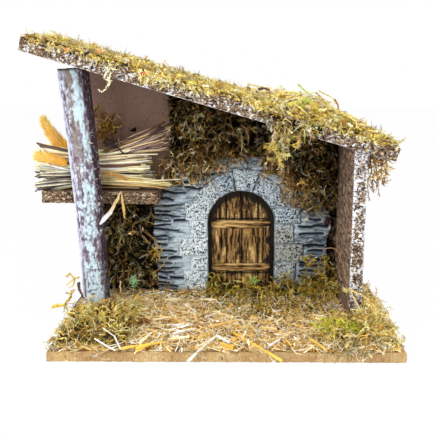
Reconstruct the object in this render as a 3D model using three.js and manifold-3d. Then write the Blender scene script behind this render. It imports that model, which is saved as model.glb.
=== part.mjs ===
// A miniature cabin: a lean-to shelter for a holiday scene, made of brown-painted softboard, a bark
// log, a cast stone front with a plank door, and glued moss and straw.
// Millimetres. +Z is up, the open front looks along -Y and +X is to the viewer's right.
// The origin is the centre of the base board's underside.

import * as THREE from 'three';
import { mergeVertices } from 'three/addons/utils/BufferGeometryUtils.js';
import Module from 'manifold-3d';

const wasm = await Module();
wasm.setup();

// Driving dimensions: general
const clearance = 0.3;
const arris = 0.5;

// Driving dimensions: boards
const baseWidth = 300;
const baseDepth = 170;
const baseThickness = 8;
const panelThickness = 10;
const wallThickness = 12;
const wallDepth = 93;
const wallHeight = 156.2;
const wallInset = 26;
const roofThickness = 12;
const roofPitch = THREE.MathUtils.degToRad(16.7);
const roofEaveLeft = 23.2;
const roofEaveRight = 23.7;
const roofEaveFront = 7;
const shelfThickness = 12;
const shelfOverhang = 30.7;
const shelfToArch = 80.7;
const shelfUnderside = 107.3;
const shelfTilt = THREE.MathUtils.degToRad(0.9);

// Driving dimensions: the bark log that holds up the high end of the roof
const postFootInset = 22.3;
const postTopInset = 11.2;
const postToPanel = 52.5;
const postFootRadius = 13;
const postTopRadius = 14.5;
const postBow = 2;
const barkDepth = 0.7;

// Driving dimensions: the cast stone front and its door
const archToWall = 97.8;
const archRadius = 34;
const springHeight = 72.5;
const castPlate = 4.6;
const courseRelief = 2.6;
const dressedRelief = 4.1;
const stoneBevel = 0.8;
const stoneJoint = 0.9;
const voussoirDepth = 20.5;
const keystoneDepth = 23.4;
const castHeight = 140;
const keystoneLeft = -9;
const keystoneRight = 20;
const haunchLeft = 34;
const haunchRight = 45;
const doorRecess = 3;
const plankStep = 1.2;
const plankGroove = 1.1;
const railThickness = 1.4;
const railHeight = 9;
const lowRailFoot = 21;
const highRailFoot = 67.3;

// The casting's broken right edge, from its top down, in X from the arch's centre and Z from its foot
const castRightEdge = [
  [42, castHeight], [74, 104], [80, 92], [90, 79], [91.4, 68],
  [88, 54], [86, 42], [88.5, 27], [87, 12], [88, 0],
];

// Dark joints between the courses right of the door and over the arch: left end, right end, height
const courseJoints = [
  [57, 71, 25.5], [57, 70, 19], [59, 73, 31], [65, 79, 49], [65, 77, 42], [55, 76, 51.5],
  [56, 75, 58], [70, 87, 68], [62, 80, 76], [54, 74, 95], [58, 75, 89.5], [60, 77, 83],
  [34, 51, 120], [36, 55, 126], [38, 54, 131], [-44, -12, 126], [-46, -18, 131],
];
const coursePitch = 5.3;

// Jamb stones from the foot up: lower joint, upper joint, and reach beyond the opening's edge
const leftQuoins = [[0.5, 22, 25.5], [22, 38, 18.4], [38, 57.1, 29.9], [57.1, 76, 19], [76, 94, 23]];
const rightQuoins = [[0.5, 9, 26.3], [9, 31.5, 22.8], [31.5, 50.8, 29.6], [50.8, 72, 20.5], [72, 89, 27]];

// Driving dimensions: straw on the loft shelf
const sheafOverhang = 7.8;
const sheafHeight = 40;
const sheafDepth = 32;
const stalkRadius = 1.6;
const stalkCount = 24;
const sheafBackGap = 2;
const sheafTaper = 0.12;
const fanOvershoot = 9;
const fanRise = 13;
const fanKnot = 1.6;
const fanStalkRadius = 1.2;
const fanStalkCount = 6;
const earLength = 37.7;
const earWidth = 9;
const earDepth = 4;

// Driving dimensions: moss, litter and loose straws
const litterHeight = 3;
const litterMargin = 3.5;
const litterBackGap = 37;
const roofMossHeight = 12;
const roofMossMargin = 2;
const wallMossDepth = 22;
const wallMossLap = 3;
const wallMossFallLeft = 23;
const wallMossFallRight = 61;
const wallMossSplit = 16;
const loftMossLift = 8.7;
const loftMossWidth = 24;
const loftMossHeight = 29;
const columnMossDepth = 13;
const tuftToArch = 18.8;
const tuftWidth = 47;
const tuftDrop = 34;
const tuftDepth = 7;
const moundDepth = 26;
const moundMargin = 14;
const doorMossReach = 26;
const doorMossHeight = 31;
const cornerMossHeight = 46;
const postMossReach = 44;
const postMossHeight = 11;
const wallFootMossReach = 26;
const wallFootMossHeight = 12;
const gableMossWidth = 19;
const gableMossDrop = 30;
const gableMossDepth = 20;
const strawRadius = 1.3;
const stemRadius = 0.8;
const stemTop = 81;

// Driving dimensions: brads
const bradRadius = 0.8;
const bradHeadRadius = 1.7;
const bradHeadThickness = 1;
const roofBradLength = 24;
const baseBradLength = 20;
const panelBradLength = 24;

// Places that follow from the driving dimensions
const baseLeft = -baseWidth / 2;
const baseRight = baseWidth / 2;
const baseFront = -baseDepth / 2;
const baseBack = baseDepth / 2;
const panelFront = baseBack - panelThickness;
const wallOuter = baseRight - wallInset;
const wallInner = wallOuter - wallThickness;
const wallFront = panelFront - wallDepth;
const roofGap = clearance / Math.cos(roofPitch);
const wallTop = baseThickness + wallHeight;
const postY = panelFront - postToPanel;
const archX = wallInner - archToWall;
const shelfRightX = archX - shelfToArch;
const shelfLength = shelfRightX - baseLeft + shelfOverhang;
const sheafLength = shelfLength + sheafOverhang;
const postTopX = baseLeft + postTopInset;
const postFootX = baseLeft + postFootInset;
const undersideAt = (x) => wallTop + roofGap + (wallOuter - x) * Math.tan(roofPitch);
const underRoof = (x) => undersideAt(x) - roofGap;
const castBack = panelFront - clearance;
const castFront = castBack - castPlate - dressedRelief;
const courseFront = castBack - castPlate - courseRelief;

// Finishes
const finish = (color, roughness, metalness = 0) =>
  new THREE.MeshStandardMaterial({ color, roughness, metalness });
const paintedBoard = finish(0x6d5142, 0.85);
const rawEdge = finish(0xa9825a, 0.9);
const bark = finish(0x6b5f6e, 0.9);
const castStone = finish(0xaebfca, 0.9);
const doorBrown = finish(0x9a6a30, 0.7);
const strawGold = finish(0xd9b872, 0.8);
const earGold = finish(0xe0a234, 0.9);
const mossGreen = finish(0x7a6a24, 1);
const mossBright = finish(0xb59a3c, 1);
const litterTan = finish(0xb3904e, 1);
const steel = finish(0x8d8d90, 0.4, 1);

const cabin = new THREE.Group();
const v = (x, y, z) => new THREE.Vector3(x, y, z);

function add(name, geometry, material, parent = cabin) {
  const mesh = new THREE.Mesh(geometry, material);
  mesh.name = name;
  parent.add(mesh);
  return mesh;
}

// A number from 0 to 1 that looks random but is the same on every run
function scatter(i, salt = 0) {
  const wave = Math.sin(i * 12.9898 + salt * 78.233) * 43758.5453;
  return wave - Math.floor(wave);
}

// Gentle lumps between -1 and 1, about one every pitch millimetres
function lump(a, b, pitch) {
  const p = (a / pitch) * Math.PI;
  const q = (b / pitch) * Math.PI;
  return 0.6 * Math.sin(p + 1.3 * Math.sin(q)) * Math.cos(q) + 0.4 * Math.sin(0.47 * p - 0.61 * q);
}

// Solids for cutting and joining
function solid(geometry) {
  const bare = geometry.clone();
  bare.deleteAttribute('normal');
  bare.deleteAttribute('uv');
  const merged = mergeVertices(bare, 1e-4);
  const vertProperties = new Float32Array(merged.attributes.position.array);
  const triVerts = new Uint32Array(merged.index.array);
  return new wasm.Manifold(new wasm.Mesh({ numProp: 3, vertProperties, triVerts }));
}

function geometryOf(body) {
  const mesh = body.getMesh();
  const geometry = new THREE.BufferGeometry();
  geometry.setAttribute('position', new THREE.BufferAttribute(mesh.vertProperties, 3));
  geometry.setIndex(new THREE.BufferAttribute(mesh.triVerts, 1));
  geometry.computeVertexNormals();
  return geometry;
}

function cut(geometry, tools) {
  return geometryOf(tools.reduce((body, tool) => body.subtract(solid(tool)), solid(geometry)));
}

function join(pieces) {
  return geometryOf(pieces.slice(1).reduce((body, piece) => body.add(solid(piece)), solid(pieces[0])));
}

// An outline in X and Z, given as a Shape, made solid from yFront back to yBack
function extrudeBack(shape, yFront, yBack, bevel = 0, curveSegments = 12) {
  const depth = yBack - yFront - 2 * bevel;
  const options = { depth, curveSegments, bevelEnabled: bevel > 0, bevelSegments: 1 };
  Object.assign(options, { bevelSize: bevel, bevelThickness: bevel, bevelOffset: -bevel });
  const geometry = new THREE.ExtrudeGeometry(shape, options);
  geometry.translate(0, 0, bevel);
  geometry.rotateX(Math.PI / 2);
  return geometry.translate(0, yBack, 0);
}

const shapeOf = (points) => new THREE.Shape(points.map(([a, b]) => new THREE.Vector2(a, b)));

// A board given by its outline in X and Z, with its arrises just broken
const board = (points, yFront, yBack) => extrudeBack(shapeOf(points), yFront, yBack, arris);

// A closed tube through rings of equal count, each ring counter-clockwise seen from its far side
function loft(rings) {
  const count = rings[0].length;
  const points = rings.flat();
  const faces = [];
  for (let i = 0; i < rings.length - 1; i += 1) {
    for (let j = 0; j < count; j += 1) {
      const a = i * count + j;
      const b = i * count + ((j + 1) % count);
      faces.push(a, b, b + count, a, b + count, a + count);
    }
  }
  const last = (rings.length - 1) * count;
  for (let j = 1; j < count - 1; j += 1) {
    faces.push(0, j + 1, j, last, last + j, last + j + 1);
  }
  const geometry = new THREE.BufferGeometry().setFromPoints(points);
  geometry.setIndex(faces);
  geometry.computeVertexNormals();
  return geometry;
}

// A closed pad between a lower and an upper sheet, each a function of s and t from 0 to 1
function pad(columns, rows, lower, upper) {
  const points = [];
  const faces = [];
  const at = (sheet, i, j) => (sheet * (columns + 1) + i) * (rows + 1) + j;
  for (const sheet of [lower, upper]) {
    for (let i = 0; i <= columns; i += 1) {
      for (let j = 0; j <= rows; j += 1) points.push(sheet(i / columns, j / rows));
    }
  }
  const quad = (a, b, c, d) => faces.push(a, b, c, a, c, d);
  for (let i = 0; i < columns; i += 1) {
    for (let j = 0; j < rows; j += 1) {
      quad(at(0, i, j), at(0, i, j + 1), at(0, i + 1, j + 1), at(0, i + 1, j));
      quad(at(1, i, j), at(1, i + 1, j), at(1, i + 1, j + 1), at(1, i, j + 1));
    }
    quad(at(0, i, 0), at(0, i + 1, 0), at(1, i + 1, 0), at(1, i, 0));
    quad(at(0, i + 1, rows), at(0, i, rows), at(1, i, rows), at(1, i + 1, rows));
  }
  for (let j = 0; j < rows; j += 1) {
    quad(at(0, 0, j + 1), at(0, 0, j), at(1, 0, j), at(1, 0, j + 1));
    quad(at(0, columns, j), at(0, columns, j + 1), at(1, columns, j + 1), at(1, columns, j));
  }
  const geometry = new THREE.BufferGeometry().setFromPoints(points);
  geometry.setIndex(faces);
  geometry.computeVertexNormals();
  return geometry;
}

// A straight round bar from one point to another
function bar(from, to, radius, sides = 6) {
  const along = to.clone().sub(from);
  const geometry = new THREE.CylinderGeometry(radius, radius, along.length(), sides);
  const turn = new THREE.Quaternion().setFromUnitVectors(v(0, 1, 0), along.clone().normalize());
  geometry.applyQuaternion(turn);
  return geometry.translate(...from.clone().add(to).multiplyScalar(0.5).toArray());
}

// A dome from 0 at the rim of a pad to 1 over most of its middle
const shoulderOf = (s) => Math.min(1, 4 * Math.min(s, 1 - s)) ** 0.6;
const dome = (s, t) => shoulderOf(s) * shoulderOf(t);

// The turned frames of the roof and of the loft shelf. In each, Z = 0 is the board's underside.
const roofFrame = new THREE.Group();
roofFrame.position.set(wallOuter, 0, undersideAt(wallOuter));
roofFrame.rotation.y = roofPitch;
roofFrame.updateMatrixWorld();
cabin.add(roofFrame);

const shelfFrame = new THREE.Group();
shelfFrame.position.set(shelfRightX, panelFront, shelfUnderside);
shelfFrame.rotation.y = shelfTilt;
shelfFrame.updateMatrixWorld();
cabin.add(shelfFrame);

const roofLeft = -(wallOuter - baseLeft + roofEaveLeft) / Math.cos(roofPitch);
const roofFront = wallFront - roofEaveFront;
const ontoRoof = (x) => (x - wallOuter) / Math.cos(roofPitch);

// Brads: driven with the head 0.3 mm below the face, each in a bore that clears it
const bradTurns = {
  down: new THREE.Euler(0, 0, 0),
  up: new THREE.Euler(Math.PI, 0, 0),
  forward: new THREE.Euler(-Math.PI / 2, 0, 0),
};

function turned(profile, sides) {
  const points = profile.map(([r, z]) => new THREE.Vector2(r, z));
  return new THREE.LatheGeometry(points, sides).rotateX(Math.PI / 2);
}

function bradGeometry(length) {
  return turned([
    [0, -length],
    [bradRadius, -length + 2 * bradRadius],
    [bradRadius, -bradHeadThickness],
    [bradHeadRadius, -bradHeadThickness],
    [bradHeadRadius, 0],
    [0, 0],
  ], 8);
}

function boreGeometry(length) {
  const wide = bradHeadRadius + clearance;
  const narrow = bradRadius + clearance;
  const seat = -bradHeadThickness - clearance;
  return turned([
    [0, -length - clearance],
    [narrow, -length - clearance],
    [narrow, seat],
    [wide, seat],
    [wide, 2],
    [0, 2],
  ], 8);
}

const brads = [];

function drive(name, frame, face, way, length) {
  const holder = new THREE.Group();
  const sink = v(0, 0, -clearance).applyEuler(bradTurns[way]);
  holder.position.copy(face).add(sink);
  holder.rotation.copy(bradTurns[way]);
  frame.add(holder);
  holder.updateWorldMatrix(true, false);
  add(name, bradGeometry(length), steel, holder);
  brads.push({ name, length, place: holder.matrixWorld.clone() });
}

// The bores of the named brads, in the frame of the piece that they pass through
function bores(names, frame = cabin) {
  const home = frame.matrixWorld.clone().invert();
  return brads
    .filter((brad) => names.some((name) => brad.name.startsWith(name)))
    .map((brad) => boreGeometry(brad.length).applyMatrix4(home.clone().multiply(brad.place)));
}

const panelMiddleY = panelFront + panelThickness / 2;
const wallMiddleX = wallOuter - wallThickness / 2;
const shelfFront = postY + postTopRadius + clearance;
const shelfDepth = panelFront - clearance - shelfFront;

function driveBrads() {
  const onRoof = (x, y) => v(ontoRoof(x) + roofThickness * Math.tan(roofPitch), y, roofThickness);
  drive('roof_brad_post', roofFrame, onRoof(postTopX, postY), 'down', roofBradLength);
  drive('roof_brad_wall_front', roofFrame, onRoof(wallMiddleX, wallFront + 15), 'down', roofBradLength);
  drive('roof_brad_wall_back', roofFrame, onRoof(wallMiddleX, panelFront - 15), 'down', roofBradLength);
  drive('roof_brad_panel_left', roofFrame, onRoof(baseLeft + 60, panelMiddleY), 'down', roofBradLength);
  drive('roof_brad_panel_right', roofFrame, onRoof(wallInner - 60, panelMiddleY), 'down', roofBradLength);
  drive('base_brad_post', cabin, v(postFootX, postY, 0), 'up', baseBradLength);
  drive('base_brad_wall_front', cabin, v(wallMiddleX, wallFront + 15, 0), 'up', baseBradLength);
  drive('base_brad_wall_back', cabin, v(wallMiddleX, panelFront - 15, 0), 'up', baseBradLength);
  drive('base_brad_panel_left', cabin, v(baseLeft + 40, panelMiddleY, 0), 'up', baseBradLength);
  drive('base_brad_panel_right', cabin, v(wallInner - 40, panelMiddleY, 0), 'up', baseBradLength);
  const shelfMiddle = shelfUnderside + shelfThickness / 2;
  const shelfBradZ = (x) => shelfMiddle + (shelfRightX - x) * Math.tan(shelfTilt);
  for (const [side, x] of [['left', baseLeft + 14], ['right', shelfRightX - 14]]) {
    drive(`shelf_brad_${side}`, cabin, v(x, baseBack, shelfBradZ(x)), 'forward', panelBradLength);
  }
  const wallBradHeights = { low: baseThickness + 30, high: wallTop - 30 };
  for (const [side, z] of Object.entries(wallBradHeights)) {
    drive(`wall_brad_${side}`, cabin, v(wallMiddleX, baseBack, z), 'forward', panelBradLength);
  }
}

function addBoards() {
  const baseShape = shapeOf([
    [baseLeft, 0], [baseRight, 0], [baseRight, baseThickness], [baseLeft, baseThickness],
  ]);
  const base = extrudeBack(baseShape, baseFront, baseBack, arris);
  add('base_board', cut(base, bores(['base_brad'])), rawEdge);

  const panel = board([
    [baseLeft, baseThickness], [wallOuter, baseThickness],
    [wallOuter, underRoof(wallOuter)], [baseLeft, underRoof(baseLeft)],
  ], panelFront, baseBack);
  const panelBrads = ['base_brad_panel', 'roof_brad_panel', 'shelf_brad', 'wall_brad'];
  add('back_panel', cut(panel, bores(panelBrads)), paintedBoard);

  const wall = board([
    [wallInner, baseThickness], [wallOuter, baseThickness],
    [wallOuter, underRoof(wallOuter)], [wallInner, underRoof(wallInner)],
  ], wallFront, panelFront);
  const wallBrads = ['base_brad_wall', 'roof_brad_wall', 'wall_brad'];
  add('right_wall', cut(wall, bores(wallBrads)), paintedBoard);

  const roof = board([
    [roofLeft, 0], [roofEaveRight, 0], [roofEaveRight, roofThickness], [roofLeft, roofThickness],
  ], roofFront, baseBack);
  add('roof_board', cut(roof, bores(['roof_brad'], roofFrame)), paintedBoard, roofFrame);

  const shelf = board([
    [-shelfLength, 0], [0, 0], [0, shelfThickness], [-shelfLength, shelfThickness],
  ], -clearance - shelfDepth, -clearance);
  add('loft_shelf', cut(shelf, bores(['shelf_brad'], shelfFrame)), paintedBoard, shelfFrame);
}

// The log: it leans outwards, bows a little and swells towards its top, which is sawn square
function addPost() {
  const sides = 20;
  const stations = 16;
  const guess = undersideAt(postTopX) - baseThickness;
  const lean = Math.atan2(postFootX - postTopX, guess);
  const topEdge = postTopX + postTopRadius * Math.cos(lean);
  const topZ = underRoof(topEdge) - postTopRadius * Math.sin(lean);
  const rings = [];
  for (let i = 0; i <= stations; i += 1) {
    const t = i / stations;
    const centreX = postFootX + (postTopX - postFootX) * t + postBow * Math.sin(Math.PI * t);
    const centreZ = baseThickness + (topZ - baseThickness) * t;
    const radius = postFootRadius + (postTopRadius - postFootRadius) * t;
    const tilt = lean * t;
    const ring = [];
    for (let j = 0; j < sides; j += 1) {
      const angle = (j / sides) * 2 * Math.PI;
      const ridge = 0.5 + 0.5 * lump(centreZ, (j * 360) / sides, 37);
      const worn = i === 0 || i === stations ? 0 : barkDepth * ridge;
      const r = radius - worn;
      const reach = r * Math.cos(angle);
      const x = centreX + reach * Math.cos(tilt);
      ring.push(v(x, postY + r * Math.sin(angle), centreZ + reach * Math.sin(tilt)));
    }
    rings.push(ring);
  }
  add('left_post', cut(loft(rings), bores(['roof_brad_post', 'base_brad_post'])), bark);
}

driveBrads();
addBoards();
addPost();

// The stone front. Its own outlines are in X from the arch's centre and Z from the base's top.
const stoneFrame = new THREE.Group();
stoneFrame.position.set(archX, 0, baseThickness);
cabin.add(stoneFrame);
const castFoot = 0;
const castLeft = shelfRightX - archX - 4.5;
const shoulder = shelfUnderside - baseThickness;
const onArch = (z, radius = archRadius) => {
  const rise = Math.max(0, z - springHeight);
  return Math.sqrt(Math.max(0, radius ** 2 - rise ** 2));
};

// Outline of the casting: a straight left edge that steps in round the shelf, a broken right edge
function castOutline() {
  const shape = new THREE.Shape();
  shape.moveTo(castLeft, castFoot);
  shape.lineTo(castLeft, shoulder - 4);
  shape.lineTo(castLeft + 5.2, shoulder - 0.6);
  shape.lineTo(castLeft + 5.4, shoulder + 4);
  shape.lineTo(castLeft + 12.5, shoulder + shelfThickness + 2);
  shape.lineTo(castLeft + 30, castHeight);
  for (const [x, z] of castRightEdge) shape.lineTo(x, z);
  return shape;
}

// The arched opening: a straight-sided doorway under a half circle
function archOutline(radius, foot = castFoot) {
  const shape = new THREE.Shape();
  shape.moveTo(-radius, foot);
  shape.lineTo(radius, foot);
  shape.lineTo(radius, springHeight);
  shape.absarc(0, springHeight, radius, 0, Math.PI, false);
  return shape;
}

// A wedge of the arch between two angles from the vertical, in degrees
function voussoir(fromDegrees, toDegrees, depth) {
  const edge = stoneJoint / 2 / (archRadius + depth / 2);
  const start = Math.PI / 2 - THREE.MathUtils.degToRad(toDegrees) + edge;
  const end = Math.PI / 2 - THREE.MathUtils.degToRad(fromDegrees) - edge;
  const shape = new THREE.Shape();
  shape.absarc(0, springHeight, archRadius + depth, start, end, false);
  shape.absarc(0, springHeight, archRadius, end, start, true);
  return shape;
}

// The lowest wedge on each side ends on a level joint, not on a radial one
function haunch(side, degrees, jointHeight) {
  const angle = THREE.MathUtils.degToRad(degrees);
  const rise = jointHeight + stoneJoint / 2 - springHeight;
  const outer = archRadius + voussoirDepth;
  const innerEnd = Math.acos(rise / archRadius);
  const outerEnd = Math.acos(rise / outer);
  const steps = 5;
  const points = [];
  for (let i = 0; i <= steps; i += 1) {
    const a = angle + (outerEnd - angle) * (i / steps);
    points.push([side * outer * Math.sin(a), springHeight + outer * Math.cos(a)]);
  }
  for (let i = 0; i <= steps; i += 1) {
    const a = innerEnd + (angle - innerEnd) * (i / steps);
    points.push([side * archRadius * Math.sin(a), springHeight + archRadius * Math.cos(a)]);
  }
  return shapeOf(side < 0 ? points : points.reverse());
}

// A jamb stone between two heights, from the opening out to the given width
function quoin(side, low, high, width) {
  const bottom = low + stoneJoint / 2;
  const top = high - stoneJoint / 2;
  const steps = 4;
  const points = [[side * width, bottom + 1], [side * (width - 1), bottom]];
  for (let i = 0; i <= steps; i += 1) {
    const z = bottom + (top - bottom) * (i / steps);
    points.push([side * onArch(z), z]);
  }
  points.push([side * (width - 1), top], [side * width, top - 1]);
  return shapeOf(side < 0 ? points : points.reverse());
}

// Courses: each dark joint is a flat lens cut into the face, from one X to another at a height
function jointCutter(left, right, height) {
  const lens = new THREE.SphereGeometry(1, 6, 4);
  lens.scale((right - left) / 2, courseRelief, 1.1);
  const face = castBack - castPlate - courseRelief;
  return lens.translate((left + right) / 2, face, height);
}

function addStoneFront() {
  const field = extrudeBack(castOutline(), courseFront, castBack, stoneBevel);
  const dressed = [
    voussoir(-haunchLeft, keystoneLeft, voussoirDepth),
    voussoir(keystoneLeft, keystoneRight, keystoneDepth),
    voussoir(keystoneRight, haunchRight, voussoirDepth),
    haunch(-1, haunchLeft, leftQuoins.at(-1)[1]),
    haunch(1, haunchRight, rightQuoins.at(-1)[1]),
    ...leftQuoins.map(([low, high, reach]) => quoin(-1, low, high, archRadius + reach)),
    ...rightQuoins.map(([low, high, reach]) => quoin(1, low, high, archRadius + reach)),
  ].map((shape) => extrudeBack(shape, castFront, castBack - 1, stoneBevel, 5));
  let body = solid(field);
  for (const stone of dressed) body = body.add(solid(stone));
  const cutters = [];
  const rows = Math.floor((castHeight - 24) / coursePitch);
  const dressedAt = (z) => Math.max(52, onArch(z, archRadius + voussoirDepth));
  for (let i = 1; i <= rows; i += 1) {
    const z = 4 + i * coursePitch;
    const length = 14 + 9 * scatter(i, 1);
    const left = castLeft + 2.5 + 3 * scatter(i, 2) + (z > shoulder - 6 ? 14 : 0);
    cutters.push(jointCutter(left, Math.min(left + length, -dressedAt(z) - 0.5), z));
  }
  for (const [left, right, z] of courseJoints) cutters.push(jointCutter(left, right, z));
  for (const cutter of cutters) body = body.subtract(solid(cutter));
  const opening = extrudeBack(archOutline(archRadius, castFoot - 1), castFront - 1, castBack + 1);
  add('stone_front', geometryOf(body.subtract(solid(opening))), castStone, stoneFrame);
}

// The door leaf fills the arch. Its planks stand proud of a dark rebate and are parted by grooves.
const leafRadius = archRadius - clearance;
const leafFront = castFront + doorRecess + plankStep;
const plankFront = leafFront - plankStep;
const plankEdges = [-31.2, -14.7, 0.1, 18.1, 27.5];

function addDoor() {
  const leaf = extrudeBack(archOutline(leafRadius), leafFront, castBack, 0, 16);
  const plankZone = archOutline(leafRadius - 2.6);
  const planks = plankEdges.slice(1).map((right, i) => {
    const left = plankEdges[i] + plankGroove / 2;
    const end = right - plankGroove / 2;
    const slat = shapeOf([[left, castFoot], [end, castFoot], [end, castHeight], [left, castHeight]]);
    const bodySlat = solid(extrudeBack(slat, plankFront, leafFront + 1, 0));
    return bodySlat.intersect(solid(extrudeBack(plankZone, plankFront - 1, leafFront + 2, 0, 16)));
  });
  const body = planks.reduce((whole, plank) => whole.add(plank), solid(leaf));
  add('door_leaf', geometryOf(body), doorBrown, stoneFrame);
  const railLeft = plankEdges[0] + 0.4;
  const railRight = plankEdges[plankEdges.length - 1] + 3;
  const rails = { door_rail_lower: lowRailFoot, door_rail_upper: highRailFoot };
  for (const [name, low] of Object.entries(rails)) {
    const rail = shapeOf([
      [railLeft, low + 2.4], [railLeft + 4, low + 0.5], [railRight - 5, low], [railRight, low + 2],
      [railRight - 0.6, low + railHeight - 2], [railRight - 4, low + railHeight - 0.4],
      [railLeft + 5, low + railHeight], [railLeft, low + railHeight - 2.2],
    ]);
    const railBack = plankFront - clearance;
    add(name, extrudeBack(rail, railBack - railThickness, railBack, 0.4), doorBrown, stoneFrame);
  }
}

addStoneFront();
addDoor();

// Straw on the loft shelf, in the shelf's own frame: an armful, loose stalks and grass ears.
// The armful lies on the shelf along its whole length and grows a little lower to the right.
const besidePost = (distance) => postTopX + distance - shelfRightX;
const sheafRest = shelfThickness + clearance;
const sheafY = -clearance - sheafBackGap - sheafDepth / 2;
const sheafHalfHeight = (x) => (sheafHeight / 2) * (1 - sheafTaper * (1 + x / sheafLength));
const sheafMiddleZ = (x) => sheafRest + sheafHalfHeight(x);
const sheafTopZ = (x) => sheafRest + 2 * sheafHalfHeight(x);
const sheafFrontY = (x, z) => {
  const lift = (z - sheafMiddleZ(x)) / sheafHalfHeight(x);
  return sheafY - (sheafDepth / 2) * Math.sqrt(Math.max(0, 1 - lift ** 2));
};

// An ellipse across the armful at X, drawn in by the given amount
function sheafRing(x, inset, sides) {
  const ring = [];
  for (let j = 0; j < sides; j += 1) {
    const angle = (j / sides) * 2 * Math.PI;
    const y = sheafY + (sheafDepth / 2 - inset) * Math.cos(angle);
    ring.push(v(x, y, sheafMiddleZ(x) + (sheafHalfHeight(x) - inset) * Math.sin(angle)));
  }
  return ring;
}

// A grass ear: a flat spindle between two points
function ear(from, to, width) {
  const rings = [];
  const along = to.clone().sub(from);
  const side = v(-along.z, 0, along.x).normalize();
  for (let i = 0; i <= 8; i += 1) {
    const t = i / 8;
    const swell = 0.12 + 0.88 * Math.sin(Math.PI * Math.min(1, 0.12 + 0.86 * t)) ** 0.8;
    const centre = from.clone().addScaledVector(along, t);
    const ring = [];
    for (let j = 0; j < 8; j += 1) {
      const angle = (j / 8) * 2 * Math.PI;
      const point = centre.clone().addScaledVector(side, (width / 2) * swell * Math.cos(angle));
      ring.push(point.add(v(0, -(earDepth / 2) * swell * Math.sin(angle), 0)));
    }
    rings.push(ring);
  }
  return loft(rings);
}

function addStraw() {
  const left = -sheafLength;
  const core = loft([sheafRing(left + 7, stalkRadius, 16), sheafRing(-7, stalkRadius, 16)]);
  const starts = sheafRing(left, stalkRadius, stalkCount);
  const ends = sheafRing(0, stalkRadius, stalkCount);
  const stalks = starts.map((start, i) => {
    const from = start.clone().lerp(ends[i], 0.07 * scatter(i, 3));
    const to = ends[i].clone().lerp(start, 0.05 * scatter(i, 4));
    return bar(from, to, stalkRadius);
  });
  add('straw_sheaf', join([core, ...stalks]), strawGold, shelfFrame);

  const rootX = besidePost(17.3);
  const root = v(rootX, sheafY - 3, sheafTopZ(rootX) + clearance + fanKnot);
  const fan = [];
  for (let i = 0; i < fanStalkCount; i += 1) {
    const share = i / (fanStalkCount - 1);
    const from = root.clone().add(v(6 * scatter(i, 5), 0.7 * i - 2, 0.3));
    const reach = fanOvershoot - rootX - 5 * scatter(i, 6);
    const tip = root.clone().add(v(reach, -9 + 0.8 * i, 9 + fanRise * share));
    fan.push(bar(from, tip, fanStalkRadius, 5));
  }
  const knot = new THREE.SphereGeometry(1, 8, 6).scale(10, 4.5, fanKnot);
  knot.translate(root.x + 6, root.y, root.z);
  add('straw_fan', join([knot, ...fan]), strawGold, shelfFrame);

  const earX = besidePost(-22.7);
  const earRoot = v(earX, sheafY - 4, sheafTopZ(earX) + clearance + 1.2);
  const upperEar = ear(earRoot, earRoot.clone().add(v(-0.53 * earLength, 0, 0.85 * earLength)), earWidth);
  add('grass_ear_left_upper', upperEar, earGold, shelfFrame);
  const seatEar = (x0, z0, x1, z1, contact) => {
    const y = sheafFrontY((x0 + x1) / 2, contact) - clearance - earDepth / 2;
    return [v(x0, y, z0), v(x1, y, z1)];
  };
  const sheafHead = sheafTopZ(-sheafLength);
  const lowerEar = ear(...seatEar(
    besidePost(-17.7), sheafHead - 11,
    -sheafLength, sheafHead - 14,
    sheafHead - 15,
  ), earWidth);
  add('grass_ear_left_lower', lowerEar, earGold, shelfFrame);
  const rightEar = ear(...seatEar(
    besidePost(23.3), sheafRest + 20.7,
    besidePost(40.3), sheafRest + 13.7,
    sheafRest + 16.7,
  ), 0.7 * earWidth);
  add('grass_ear_right', rightEar, earGold, shelfFrame);
}

addStraw();

// A dry leaf, folded over the shelf's front edge beside the log, with two hanging blades
function addLeaf() {
  const top = -clearance - shelfDepth - clearance;
  const bladeThickness = 0.7;
  const blade = (line, width) => {
    const rings = line.map(([x, y, z], i) => {
      const share = i / (line.length - 1);
      const half = (width / 2) * (0.35 + 0.65 * Math.sin(Math.PI * Math.min(0.95, 0.1 + share)));
      return [v(x - half, y, z), v(x - half, y - bladeThickness, z),
        v(x + half, y - bladeThickness, z), v(x + half, y, z)];
    });
    return loft(rings);
  };
  const foldX = besidePost(35.9);
  const foldZ = shelfThickness + 2;
  const straight = blade([
    [foldX + 3.4, top - 4, foldZ - 30],
    [foldX + 1.9, top - 3, foldZ - 20],
    [foldX + 0.4, top - 1.5, foldZ - 10],
    [foldX, top, foldZ],
  ], 4);
  const swept = blade([
    [foldX - 15.6, top - 27, foldZ - 32],
    [foldX - 9.6, top - 18, foldZ - 23],
    [foldX - 4.1, top - 7, foldZ - 14],
    [foldX, top, foldZ],
  ], 5);
  add('dry_leaf', join([straight, swept]), strawGold, shelfFrame);
}

addLeaf();

// Moss that lies on the roof, in the roof's own frame
const roofTop = roofThickness + clearance;

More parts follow.
